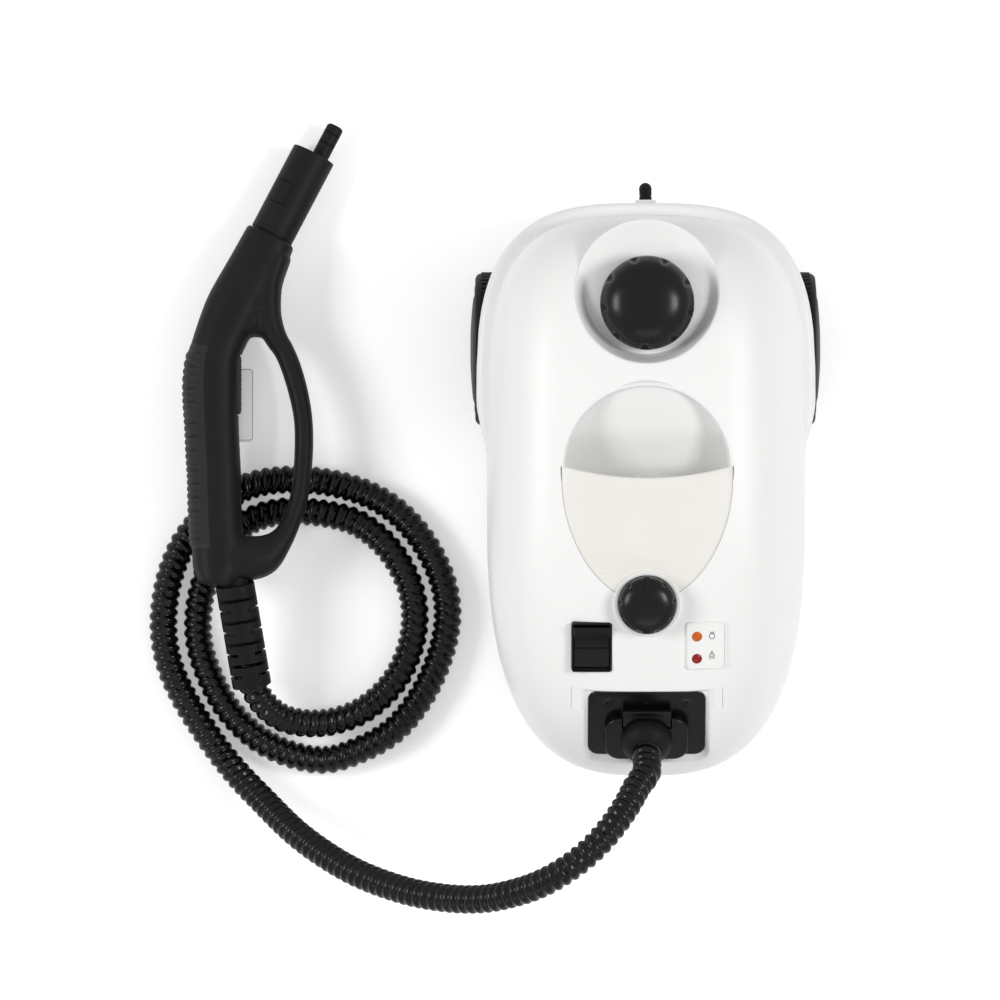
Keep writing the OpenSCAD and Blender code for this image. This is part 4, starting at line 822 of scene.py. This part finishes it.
def rocker_shape():
    """Two faces that meet in a valley, the upper one longer, with a lip at the foot."""
    side = [(-12.4, -4.6), (12.4, -4.6), (13.2, 3.6), (12.6, 4), (0.2, 1.3), (-0.9, 0.6), (-1.6, 1.4)]
    side += [(-11.6, 3), (-12.4, 2.2), (-13.2, 3.4)]
    lines = []
    for x, inset in ((-11.1, 0.5), (-10.7, 0), (10.7, 0), (11.1, 0.5)):
        lines.append([(x, 1.08 * y * (1 - inset * 0.03), z - (inset if z > 0 else 0)) for y, z in side])
    return tube(lines)


rest_tip = SWITCH @ shift(0, 0, -1.5) @ spin(7, "X")
rocker = solid_object("switch_rocker", rocker_shape(), rest_tip)
settle(rocker, black_abs, "rocker", "black_gloss", "switch_rocker")

LENS_R, LENS_X, AMBER_Y, RED_Y = 3.1, -5.4, 6.1, -8.3
lamp_outline = rounded(24.8, 30.8, 3)
lamp_plate = solid_object("indicator_plate", plate(lamp_outline, -2.8, 0.45, 0.3), LAMPS)
for y in (AMBER_Y, RED_Y):
    carve(lamp_plate, round_tool("lens_hole", LENS_R + 0.1, -4, 4, LAMPS @ shift(LENS_X, y, 0)))
lamp_line = []
for d, z in ((0, 0), (0, 1), (0.9, 1), (0.9, 0)):
    lamp_line.append([(x, y, z) for x, y in rounded(24.1 - d, 30.1 - d, 2.6 - d / 2)])
carve(lamp_plate, solid_object("lamp_line", tube(lamp_line, loop=True), LAMPS))
settle(lamp_plate, satin_abs, "casing", "white_panel", "indicator_plate")
lens_profile = [(0.01, -6), (LENS_R, -6)]
for k in range(11):
    a = math.radians(9 * k)
    lens_profile.append((LENS_R * math.cos(a) + 0.01, 0.3 + math.sin(a)))
lenses = (("lens_amber", AMBER_Y, amber_lens, "amber_lens"), ("lens_red", RED_Y, red_lens, "red_lens"))
for name, y, finish, slot in lenses:
    lens = solid_object(name, turned(lens_profile, 48), LAMPS @ shift(LENS_X, y, 0))
    settle(lens, finish, "casing", slot, name, crease=50)


def stroke(points, wide=0.42, low=0.38, high=0.52):
    """A printed line through points."""
    shapes = []
    for a, b in zip(points, points[1:]):
        a, b = Vector(a), Vector(b)
        turn = shift(*((a + b) / 2), 0) @ Matrix.Rotation(math.atan2(b.y - a.y, b.x - a.x), 4, "Z")
        bar = rounded((b - a).length + wide, wide, wide / 2.01, 4)
        shapes.append((*plate(bar, low, high, 0.05, 1), turn))
    return shapes


# Marks of the two lamps: a kettle on a flame above, a drop in a triangle below
pot = [math.radians(150 - 30 * k) for k in range(-1, 12)]
marks = stroke([(4 + 1.7 * math.cos(a), 6 + 1.6 * math.sin(a)) for a in pot])
marks += stroke([(2.6, 8.1), (5.4, 8.1)]) + stroke([(3, 9), (3.4, 8.4)]) + stroke([(5, 9), (4.6, 8.4)])
marks += stroke([(4, -3.6), (2.3, -7), (5.7, -7), (4, -3.6)])
marks += stroke([(4, -5.2), (4, -6)]) + stroke([(2.2, -8.2), (5.8, -8.2)])
settle(joined("lamp_marks", marks, LAMPS), grey_nylon, "casing", "grey_plastic")


# Hose socket: a white recess with an ear at each top corner, the black panel and the plug in it


def to_hood(x, y):
    """Height of the hood over a point of the socket's plane, square to that plane."""
    low, high = -45.0, 45.0
    for _ in range(40):
        mid = (low + high) / 2
        p = SOCKET @ Vector((x, y, mid))
        top = hood_z(p.x - MACHINE.translation.x, p.y - MACHINE.translation.y)
        low, high = (mid, high) if p.z < top else (low, mid)
    return low


def recess_shape():
    """From the floor up the wall to the hood's edge, and back underneath."""
    rings = []
    for grow, z in ((-3.8, -7.4), (-3, -7.2), (-2.2, -6.6)):
        rings.append([(x, y, min(z, to_hood(x, y) - 2)) for x, y in fine_outline(grow)])
    for grow, drop in ((-1, 1.1), (-0.4, 0.35), (0, 0.08), (0.3, 0.02)):
        rings.append([(x, y, to_hood(x, y) - drop) for x, y in fine_outline(grow)])
    rings.append([(x, y, to_hood(x, y) - 2.4) for x, y in fine_outline(0.3)])
    rings.append([(x, y, min(-12, to_hood(x, y) - 4)) for x, y in fine_outline(0.3)])
    return tube(rings)


def fine_outline(grow, step=1.5):
    """The recess outline in short steps, the same count for each margin."""
    base, out = socket_outline(0, False), []
    wide = socket_outline(grow, False)
    for i in range(len(base)):
        a, b = Vector(base[i]), Vector(base[(i + 1) % len(base)])
        p, q = Vector(wide[i]), Vector(wide[(i + 1) % len(base)])
        count = max(1, round((b - a).length / step))
        out += [tuple(p.lerp(q, k / count)) for k in range(count)]
    return out


def ear_shape(side):
    """Flush tablet at a top corner of the recess, a hair below the hood."""
    rings = []
    for k in range(5):
        x = RECESS_W + 0.1 + EAR_W * k / 4
        edge = []
        for y, low in ((13.4, True), (13.4, False), (18, False), (23, False), (27.6, False), (27.6, True)):
            edge.append((side * x, y, to_hood(side * x, y) - (4 if low else 0.6)))
        rings.append(edge)
    return tube(rings)


surround = joined("socket_surround", [recess_shape(), ear_shape(-1), ear_shape(1)], SOCKET)
settle(surround, white_abs, "casing", "white_abs", "socket_surround", crease=50)

panel = solid_object("socket_panel", plate(rounded(73, 52, 7, 12), -11, -6, 1.3, 5), SOCKET)
carve(
    panel,
    solid_object("plug_well", prism(rounded(52.4, 33.4, 10.2, 10), 0, 13), PLUG),
    round_tool("bore", 5.5, -40, 40, PLUG),
    round_tool("left_screw", 3.4, -8, 5, SOCKET @ shift(-24.5, 17, 0)),
    round_tool("right_screw", 3.4, -8, 5, SOCKET @ shift(24.5, 17, 0)),
    round_tool("test_point", 0.8, -8, 5, SOCKET @ shift(0, 16.4, 0)),
)
settle(panel, black_abs, "casing", "black_gloss", "socket_panel")

plug = solid_object("hose_plug", plate(rounded(52, 33, 9.8, 10), 0, 8, 1.4, 5), PLUG)
latch_slot = prism([(-15.6, 8.9), (15.6, 8.9), (15.6, 30), (-15.6, 30)], 2.2, 12)
carve(plug, solid_object("latch_slot", latch_slot, PLUG), round_tool("bore", 5.5, -4, 20, PLUG))
settle(plug, black_abs, "casing", "black_gloss", "hose_plug")
latch_at = PLUG @ shift(0, 16, 4.3)
latch_ridge = (*plate(rounded(22, 1, 0.45, 3), 3, 4, 0.4), shift(0, 2.5, 0))
latch = joined("plug_latch", [plate(rounded(30, 13, 1.2, 4), 0, 3.4, 0.7), latch_ridge], latch_at)
settle(latch, black_abs, "latch", "black_gloss", "plug_latch")
boot_profile = [(5.5, 0), (16, 0)]
for k in range(9):
    a = math.radians(7 * k)
    boot_profile.append((16 * math.cos(a) ** 0.6, 1 + 11 * math.sin(a)))
boot_profile += [(9.6, 11.9), (9.3, 12), (5.5, 12)]
boot = solid_object("plug_boot", hoop(boot_profile), PLUG @ shift(0, 0, 8))
settle(boot, black_rubber, "casing", "black_rubber", "plug_boot")
# Steam gun: two moulded shells on a looped grip, in the gun's own plane

GRIP_LINE = [
    (-27, -52, 16.2), (-39.4, -76.9, 17.5), (-47.7, -91.3, 17.5), (-53.3, -103.3, 17.5),
    (-61.7, -124.8, 16.2), (-64, -140.4, 16.9), (-64, -156.1, 17), (-63.5, -171.8, 16.4),
    (-62.8, -187.5, 16.4), (-61.9, -203.2, 16.3), (-61.6, -219, 16.2), (-60.9, -234.7, 16.4),
    (-59.9, -250.4, 16.5), (-60.3, -264.2, 15.4), (-62.1, -273, 11),
]
GUARD_LINE = [
    (-22.8, -63.7, 9), (-28.4, -80.7, 9), (-29.6, -93.3, 9), (-28.6, -104.6, 8.6),
    (-23.8, -116.5, 7.2), (-18.7, -124.7, 6.5), (-14, -136, 6.4), (-9.5, -151.7, 6.2),
    (-6.6, -168, 5.9), (-6.1, -184.4, 5.9), (-7, -201, 5.8), (-9.1, -217.1, 5.8),
    (-13.7, -232.2, 5.8), (-20.7, -244.4, 7.8), (-31.6, -253.5, 13), (-45, -256.7, 13.7),
    (-56.5, -258, 12.5),
]
WEB_LINE = [(-58, -98, 11), (-50, -102.5, 10.5), (-40, -105.5, 10), (-31.5, -107.1, 9)]
GUN_T, GUARD_T, WEB_T = 33.6, 18, 29


def dense_line(line, parts=6):
    """Centre points and half widths on a smooth curve through given points."""
    points = [Vector(p) for p in line]
    points = [2 * points[0] - points[1], *points, 2 * points[-1] - points[-2]]
    out = []
    for i in range(1, len(points) - 2):
        a, b, c, d = points[i - 1 : i + 3]
        for k in range(parts):
            t = k / parts
            out.append(curve_at(a, b, c, d, t))
    return out + [points[-2]]


def limb_ring(line, i, thick, grow, angles):
    """Oval section of a limb, squarer than an ellipse, at the given angles."""
    ahead = line[min(i + 1, len(line) - 1)] - line[max(i - 1, 0)]
    side = Vector((-ahead.y, ahead.x)).normalized()
    ring = []
    for a in angles:
        across = (line[i].z + grow) * spow(math.cos(a), 0.8)
        z = (thick / 2 + grow) * spow(math.sin(a), 0.8)
        ring.append((line[i].x + side.x * across, line[i].y + side.y * across, z))
    return ring


def limb(points, thick, root=0, foot=0):
    """A limb of the gun, thicker by root where it starts and by foot where it ends."""
    line = dense_line(points)
    angles = [2 * math.pi * (k + 0.5) / 72 for k in range(72)]
    rings = []
    for i in range(len(line)):
        share = i / (len(line) - 1)
        grown = thick + root * (1 - ease(share / 0.34)) + foot * ease((share - 0.76) / 0.18)
        rings.append(limb_ring(line, i, grown, 0, angles))
    return tube(rings)


limbs = [limb(GRIP_LINE, GUN_T), limb(GUARD_LINE, GUARD_T, 13, 13), limb(WEB_LINE, WEB_T, 0, -7)]
gun_form = joined("gun_form", limbs, GUN)
blend = gun_form.modifiers.new("blend", "REMESH")
blend.mode, blend.voxel_size = "VOXEL", 0.0011
soften = gun_form.modifiers.new("soften", "SMOOTH")
soften.factor, soften.iterations = 0.5, 14
bake(gun_form)
nose_flat = solid_object("nose_flat", prism([(-40, -40), (40, -40), (40, 40), (-40, 40)], 0, 57.6), NOZZLE)
carve(gun_form, nose_flat)
carve(gun_form, round_tool("nozzle_seat", 13.1, 30, 70, NOZZLE))
trigger_slot = prism([(-60, -165.9), (-30, -165.9), (-30, -126.3), (-60, -126.3)], -8.6, 8.6)
plate_slot = prism([(-50.7, -181.2), (-30, -181.2), (-30, -134.3), (-50.7, -134.3)], -11.7, -9.4)
carve(
    gun_form, solid_object("trigger_slot", trigger_slot, GUN), solid_object("plate_slot", plate_slot, GUN)
)
carve(gun_form, round_tool("sleeve_seat", 12.5, -0.2, 66, SLEEVE))


def half_gun(name, side):
    """One shell of the gun: its half of the form, parted from the other by a fine line."""
    made = bpy.data.objects.new(name, gun_form.data.copy())
    scene.collection.objects.link(made)
    shaped = bmesh.new()
    shaped.from_mesh(made.data)
    at, up = GUN @ Vector((0, 0, 0.15 * side)) * MM, GUN.to_3x3() @ Vector((0, 0, side))
    every = shaped.verts[:] + shaped.edges[:] + shaped.faces[:]
    cut = bmesh.ops.bisect_plane(shaped, geom=every, plane_co=at, plane_no=up, clear_inner=True)
    rim = [e for e in cut["geom_cut"] if isinstance(e, bmesh.types.BMEdge)]
    bmesh.ops.triangle_fill(shaped, use_beauty=True, use_dissolve=False, edges=rim)
    bmesh.ops.recalc_face_normals(shaped, faces=shaped.faces)
    shaped.to_mesh(made.data)
    shaped.free()
    return settle(made, black_nylon, "casing", "black_matte", name, crease=50)


half_gun("gun_shell_upper", 1)
half_gun("gun_shell_lower", -1)
bpy.data.objects.remove(gun_form)


def pad_shape():
    """Ribbed rubber pad on the back of the grip, thinned out to its edges."""
    line = dense_line(GRIP_LINE, 24)
    first, last = 4 * 24, 12 * 24
    angles = [math.radians(102 + 156 * k / 24) for k in range(25)]
    rings, run = [], 0
    for i in range(first, last + 1):
        run += (line[i].xy - line[i - 1].xy).length
        ends = ease(min(1, (i - first) / 10, (last - i) / 10))
        outer = []
        for k in range(25):
            sides = ease(min(1, k / 4, (24 - k) / 4))
            rib = abs(math.sin(math.pi * run / 4.3)) ** 0.7
            outer.append(limb_ring(line, i, GUN_T, 0.1 + (0.5 + 1.2 * rib) * ends * sides, [angles[k]])[0])
        rings.append(outer + limb_ring(line, i, GUN_T, -0.6, list(reversed(angles))))
    return tube(rings)


pad = solid_object("gun_grip_pad", pad_shape(), GUN)
settle(pad, grey_rubber, "casing", "black_rubber", "gun_grip_pad", crease=70)

trigger_bar = []
for k in range(9):
    t = k / 8 * 2 - 1
    inset = 1.6 * (1 - math.sqrt(max(0, 1 - abs(t) ** 4)))
    trigger_bar.append([(x, y, 8 * t) for x, y in rounded(9.5 - 2 * inset, 37 - 2 * inset, 1.8, 5)])
trigger_at = GUN @ shift(-50.35, -146, 0)
rib, rib_turn = plate(rounded(1.2, 12, 0.5, 3), 0, 0.5, 0.3), spin(90, "Y") @ spin(90, "Z")
ribs = [(*rib, shift(4.4, 15 - 3 * k, 0) @ rib_turn) for k in range(11)]
trigger = joined("trigger", [tube(trigger_bar), *ribs], trigger_at)
settle(trigger, grey_nylon, "trigger_lever", "grey_plastic", "trigger")

label = bent([(-50.5, -181), (-40, -181)], (-40.4, -178.6), 2.4, -80, 0, 5)
label = bent(label, (-40.4, -136.9), 2.4, 0, 90, 5) + [(-50.5, -134.5)]
label_shape = plate(label, -11.5, -9.7, 0.25)
border = bent([(-47, -180)], (-40.6, -178), 2, -90, 0, 4)
border = stroke(bent(border, (-40.6, -137.4), 2, 0, 90, 4) + [(-47, -135.4)], 0.3, -9.8, -9.6)
settle(solid_object("label_plate", label_shape, GUN), satin_abs, "casing", "white_panel", "label_plate")
settle(joined("label_border", border, GUN), grey_nylon, "casing", "grey_plastic")


# Nozzle: tube with a moulded tab on its flank, and the steam pin with its seals


nozzle = bent([(0.01, 4), (0.01, 0), (13.2, 0)], (13.4, 0.6), 0.6, -90, 0, 4)
nozzle += [(14, 57.5), (13, 57.6), (13, 70), (11.5, 70), (11.5, 4)]
nozzle_tube = solid_object("nozzle_tube", hoop(nozzle, 120), NOZZLE)
PIN = NOZZLE @ shift(0, -4, -22.5)
carve(nozzle_tube, round_tool("pin_hole", 5.5, 10, 30, PIN))
tab_turn = NOZZLE @ spin(32, "Z") @ shift(12.9, 0, 31.5) @ spin(90, "Y")
carve(nozzle_tube, solid_object("tab_line", prism(rounded(15.6, 12.6, 0.8, 3), -0.4, 5), tab_turn))
settle(nozzle_tube, black_nylon, "casing", "black_matte", "nozzle_tube")
tab = solid_object("nozzle_tab", prism(rounded(14.2, 11.2, 0.7, 3), -0.6, 5), tab_turn)
carve(tab, round_tool("tube_skin", 14.15, -10, 80, NOZZLE), how="INTERSECT")
settle(tab, black_nylon, "casing", "black_matte")

pin = bent([(2.5, 80.5), (2.5, 0.8)], (3.2, 2.2), 2.2, -90, 0, 8)
seals = []
for at in (6, 13):
    pin += [(5.4, at - 0.7), (5.0, at - 0.5), (5.0, at + 0.5), (5.4, at + 0.7)]
    seals.append(hoop(bent([], (5.1, at), 0.45, 0, 330, 11)))
steam_pin = solid_object("steam_pin", hoop(pin + [(5.4, 80.5)]), PIN)
settle(steam_pin, black_nylon, "casing", "black_matte", "steam_pin")
settle(joined("pin_seals", seals, PIN), black_rubber, "casing", "black_rubber", "pin_seals")


# Bend relief sleeve: slots in turn on its front and on its sides

sleeve = [(5.5, 4), (5.5, -12), (9, -12), (9, 0), (11.4, 0)]
sleeve = bent(sleeve, (11.5, 0.8), 0.8, -90, 0, 3)
sleeve = bent(sleeve, (11.6, 65.3), 0.7, 0, 90, 3) + [(10.2, 66), (10.2, 44), (5.5, 44)]
hose_sleeve = solid_object("hose_sleeve", hoop(sleeve), SLEEVE)
slots = []
for k in range(8):
    turn = SLEEVE @ spin(90 * (k + 1), "Z") @ shift(0, 0, 9 + 7 * k)
    for near, far in ((-20, -5.4), (5.4, 20)):
        block = prism([(near, -20), (far, -20), (far, 20), (near, 20)], -1.1, 1.1)
        slots.append(solid_object("slot", block, turn))
carve(hose_sleeve, *slots)
settle(hose_sleeve, black_rubber, "casing", "black_rubber", "hose_sleeve")


# Wheels: a domed rim with a stepped hub, and a rubber tyre with tread lugs


def rim_shape():
    """Bore, hub, hollow back, bead, and the domed face with its steps."""
    profile = [(5.05, 17.9), (5.05, 1), (12, 0.4), (12, 12), (37.6, 12), (37.6, 0.4), (40.4, 0.4)]
    profile += [(40.4, 18.4), (39.6, 19.2), (37, 19.3), (36.2, 18.6), (34.6, 18.5), (33.6, 19.5)]
    profile += [(r, 22 - 3 * (r / 40.5) ** 2) for r in (31, 27, 22, 17.5)]
    profile += [(16.8, 20.9), (15.4, 20.8), (14.8, 21.6), (9.4, 21.8), (8.7, 21.4), (8.7, 17.9)]
    return hoop(profile, 120)


def tyre_shape():
    """A plain band with round shoulders."""
    profile = bent([(40.5, 0.2), (43.5, 0.2)], (43.6, 4.3), 4.1, -90, 0, 8)
    profile = bent(profile, (43.6, 14.7), 4.1, 0, 90, 8) + [(40.5, 18.8)]
    return hoop(profile, 120)


# Tread: lugs set round a circle, each one a block with a rounded back
tread = bpy.data.node_groups.new("tread_lugs", "GeometryNodeTree")
tread.interface.new_socket("Geometry", in_out="OUTPUT", socket_type="NodeSocketGeometry")
lug_inputs = {"Count": "Int", "Radius": "Float", "Lug size": "Vector", "Rubber": "Material"}
for name, kind in lug_inputs.items():
    tread.interface.new_socket(name, in_out="INPUT", socket_type="NodeSocket" + kind)
given = add(tread, "NodeGroupInput").outputs
circle = add(tread, "GeometryNodeMeshCircle", {"Vertices": given["Count"], "Radius": given["Radius"]})
lug_sizes = {"Size": given["Lug size"], "Vertices X": 2, "Vertices Y": 2, "Vertices Z": 4}
lug = add(tread, "GeometryNodeMeshCube", lug_sizes)
place = add(tread, "GeometryNodeInputPosition")
facing = add(tread, "FunctionNodeAlignEulerToVector", {"Vector": place.outputs[0]}, axis="X")
lugs = add(
    tread,
    "GeometryNodeInstanceOnPoints",
    {"Points": circle.outputs[0], "Instance": lug.outputs[0], "Rotation": facing.outputs[0]},
)
real = add(tread, "GeometryNodeRealizeInstances", {"Geometry": lugs.outputs[0]})
coated = add(tread, "GeometryNodeSetMaterial", {"Geometry": real.outputs[0], "Material": given["Rubber"]})
add(tread, "NodeGroupOutput", {"Geometry": coated.outputs[0]})


def tread_shape(count, radius, lug_size):
    """Points and faces of the tread about Z, in millimetres, from the node tree."""
    made = bpy.data.objects.new("tread", bpy.data.meshes.new("tread"))
    scene.collection.objects.link(made)
    change = made.modifiers.new("tread", "NODES")
    change.node_group = tread
    wanted = {"Count": count, "Radius": radius, "Lug size": lug_size, "Rubber": black_rubber}
    for item in tread.interface.items_tree:
        if item.in_out == "INPUT":
            change[item.identifier] = wanted[item.name]
    bake(made)
    points = [tuple(v.co) for v in made.data.vertices]
    faces = [tuple(f.vertices) for f in made.data.polygons]
    bpy.data.objects.remove(made)
    return points, faces


for side, name in ((-1, "left"), (1, "right")):
    place, body = MACHINE @ shift(side * 88, WHEEL_Y, WHEEL_R) @ spin(90 * side, "Y"), name + "_wheel_set"
    rim = solid_object(name + "_wheel", rim_shape(), place)
    settle(rim, grey_nylon, body, "grey_plastic", name + "_wheel")
    lugs = (*tread_shape(60, 47.6, (1.6, 2.6, 11)), shift(0, 0, 9.5))
    tyre = joined(name + "_tyre", [tyre_shape(), lugs], place)
    settle(tyre, black_rubber, body, "black_rubber", name + "_tyre")


# Cord gland at the back: a ribbed elbow in a white collar


def gland_shape():
    """Out of the casing, round the elbow and down, ribbed outside, with a bore."""
    round_about = [2 * math.pi * k / 32 for k in range(32)]
    path = [Vector((0, 173.4 + 1.0 * k, 62)) for k in range(8)]
    for k in range(1, 13):
        a = math.radians(90 - 7.5 * k)
        path.append(Vector((0, 181.5 + 7 * math.cos(a), 55 + 7 * math.sin(a))))
    path += [Vector((0, 188.5, 55 - 1.0 * k)) for k in range(1, 10)]
    rings = []
    for inner in (False, True):
        order = list(range(len(path)))
        for i in reversed(order) if inner else order:
            ahead = (path[min(i + 1, len(path) - 1)] - path[max(i - 1, 0)]).normalized()
            up = Vector((1, 0, 0)).cross(ahead)
            r = 2.6 if inner else (3.95 if i < 9 or i % 2 else 3.3)
            ring = [Vector((r * math.cos(a), 0, 0)) + up * r * math.sin(a) for a in round_about]
            rings.append([path[i] + p for p in ring])
    return tube(rings, loop=True)


gland = solid_object("cord_gland", gland_shape(), MACHINE)
settle(gland, black_rubber, "casing", "black_rubber", "cord_gland", crease=60)
BACK = MACHINE @ shift(0, 179, 62) @ spin(-90, "X")
collar = [(4.1, 0), (6.9, 0), (6.9, 0.9), (6.4, 1.1), (6.4, 1.4), (6.8, 1.6)]
collar = bent(collar, (6.2, 1.9), 0.6, 0, 90, 4) + [(4.1, 2.5)]
settle(
    solid_object("gland_collar", hoop(collar, 64), BACK), white_abs, "casing", "white_abs", "gland_collar"
)


# Screws: one turned head with a cross slot, copied to each place

screw_row = bpy.data.node_groups.new("screw_heads", "GeometryNodeTree")
screw_row.interface.new_socket("Geometry", in_out="OUTPUT", socket_type="NodeSocketGeometry")
screw_inputs = {"Geometry": "Geometry", "Head": "Object", "Turn": "Vector", "Steel": "Material"}
for name, kind in screw_inputs.items():
    screw_row.interface.new_socket(name, in_out="INPUT", socket_type="NodeSocket" + kind)
given = add(screw_row, "NodeGroupInput").outputs
head = add(screw_row, "GeometryNodeObjectInfo", {"Object": given["Head"]})
at_points = {"Points": given["Geometry"], "Instance": head.outputs["Geometry"], "Rotation": given["Turn"]}
heads = add(screw_row, "GeometryNodeInstanceOnPoints", at_points)
real = add(screw_row, "GeometryNodeRealizeInstances", {"Geometry": heads.outputs[0]})
steel_on = {"Geometry": real.outputs[0], "Material": given["Steel"]}
coated = add(screw_row, "GeometryNodeSetMaterial", steel_on)
add(screw_row, "NodeGroupOutput", {"Geometry": coated.outputs[0]})


def screw_shape(r, high, shank_r, shank):
    """A round head with a cross slot, and its shank below it."""
    profile = [(0.01, -shank), (shank_r, -shank), (shank_r, 0), (r, 0)]
    profile = bent(profile, (r - 0.6, high - 0.6), 0.6, 0, 90, 4) + [(0.01, high)]
    made = solid_object("screw_head", turned(profile, 32))
    for degrees in (0, 90):
        slot = prism(rounded(r * 1.25, 0.9, 0.2, 2), high - 1.1, high + 1)
        carve(made, solid_object("cross", slot, spin(degrees, "Z")))
    return made


def screws(name, points, turn, body, head, finish, slot):
    """Screws at points, all turned alike, as one piece."""
    made = solid_object(name, (points, []))
    change = made.modifiers.new("screws", "NODES")
    change.node_group = screw_row
    wanted = {"Head": head, "Turn": turn.to_3x3().to_euler(), "Steel": finish}
    for item in screw_row.interface.items_tree:
        if item.in_out == "INPUT" and item.name in wanted:
            change[item.identifier] = wanted[item.name]
    settle(bake(made), finish, body, slot, name)
    bpy.data.objects.remove(head)


socket_places = [SOCKET @ Vector((s * 24.5, 17, -8)) for s in (-1, 1)]
screws("socket_screws", socket_places, SOCKET, "casing", screw_shape(3.2, 2, 1.8, 3), black_steel, "steel")


# Floor and light


def in_sight(tree):
    """1 for rays from the camera and for rays that reach it by a reflection or through glass, else 0."""
    ray = add(tree, "ShaderNodeLightPath")
    seen = ray.outputs["Is Camera Ray"]
    for kind in ("Is Glossy Ray", "Is Transmission Ray"):
        seen = add(tree, "ShaderNodeMath", {0: seen, 1: ray.outputs[kind]}, operation="MAXIMUM").outputs[0]
    return seen


white_floor, tree = blank("pale_floor")
where = add(tree, "ShaderNodeTexCoord").outputs["Object"]
cloud = add(tree, "ShaderNodeTexNoise", {"Vector": where, "Scale": 4.0})
tones = {0: cloud.outputs[0], 6: linear("#F4F4F4"), 7: linear("#F1F1F1")}
tone = add(tree, "ShaderNodeMix", tones, data_type="RGBA")
paper = add(tree, "ShaderNodeBsdfDiffuse", {"Color": tone.outputs[2]})
glow = add(tree, "ShaderNodeEmission", {"Color": (1, 1, 1, 1), "Strength": 0.36})
both = add(tree, "ShaderNodeAddShader", {0: paper.outputs[0], 1: glow.outputs[0]})
shown = add(tree, "ShaderNodeMixShader", {0: in_sight(tree), 1: paper.outputs[0], 2: both.outputs[0]})
add(tree, "ShaderNodeOutputMaterial", {"Surface": shown.outputs[0]})
corners = [(-4000, -4000, 0), (4000, -4000, 0), (4000, 4000, 0), (-4000, 4000, 0)]
floor = solid_object("floor", (corners, [(0, 1, 2, 3)]))
floor.data.materials.append(white_floor)

world = bpy.data.worlds.new("studio")
world.use_nodes = True
world.node_tree.nodes.clear()
tree = world.node_tree
dim = add(tree, "ShaderNodeBackground", {"Color": (1, 1, 1, 1), "Strength": 0.42})
bright = add(tree, "ShaderNodeBackground", {"Color": (1, 1, 1, 1), "Strength": 1.0})
mixed = add(tree, "ShaderNodeMixShader", {0: in_sight(tree), 1: dim.outputs[0], 2: bright.outputs[0]})
add(tree, "ShaderNodeOutputWorld", {"Surface": mixed.outputs[0]})
scene.world = world


def softbox(name, at, size, power):
    """A studio lamp, sizes in metres, aimed at the object."""
    lamp = bpy.data.lights.new(name, "AREA")
    lamp.shape, lamp.size, lamp.size_y, lamp.energy = "RECTANGLE", *size, power
    made = bpy.data.objects.new(name, lamp)
    made.location = at
    made.rotation_euler = (Vector((0, -0.03, 0.05)) - Vector(at)).to_track_quat("-Z", "Y").to_euler()
    scene.collection.objects.link(made)


softbox("key", (1.7, 0.1, 2.0), (0.8, 0.6), 28)
softbox("fill", (-1.9, 0.1, 1.6), (0.9, 0.7), 27)
softbox("front", (0.2, -1.9, 1.7), (1.6, 0.8), 5.5)
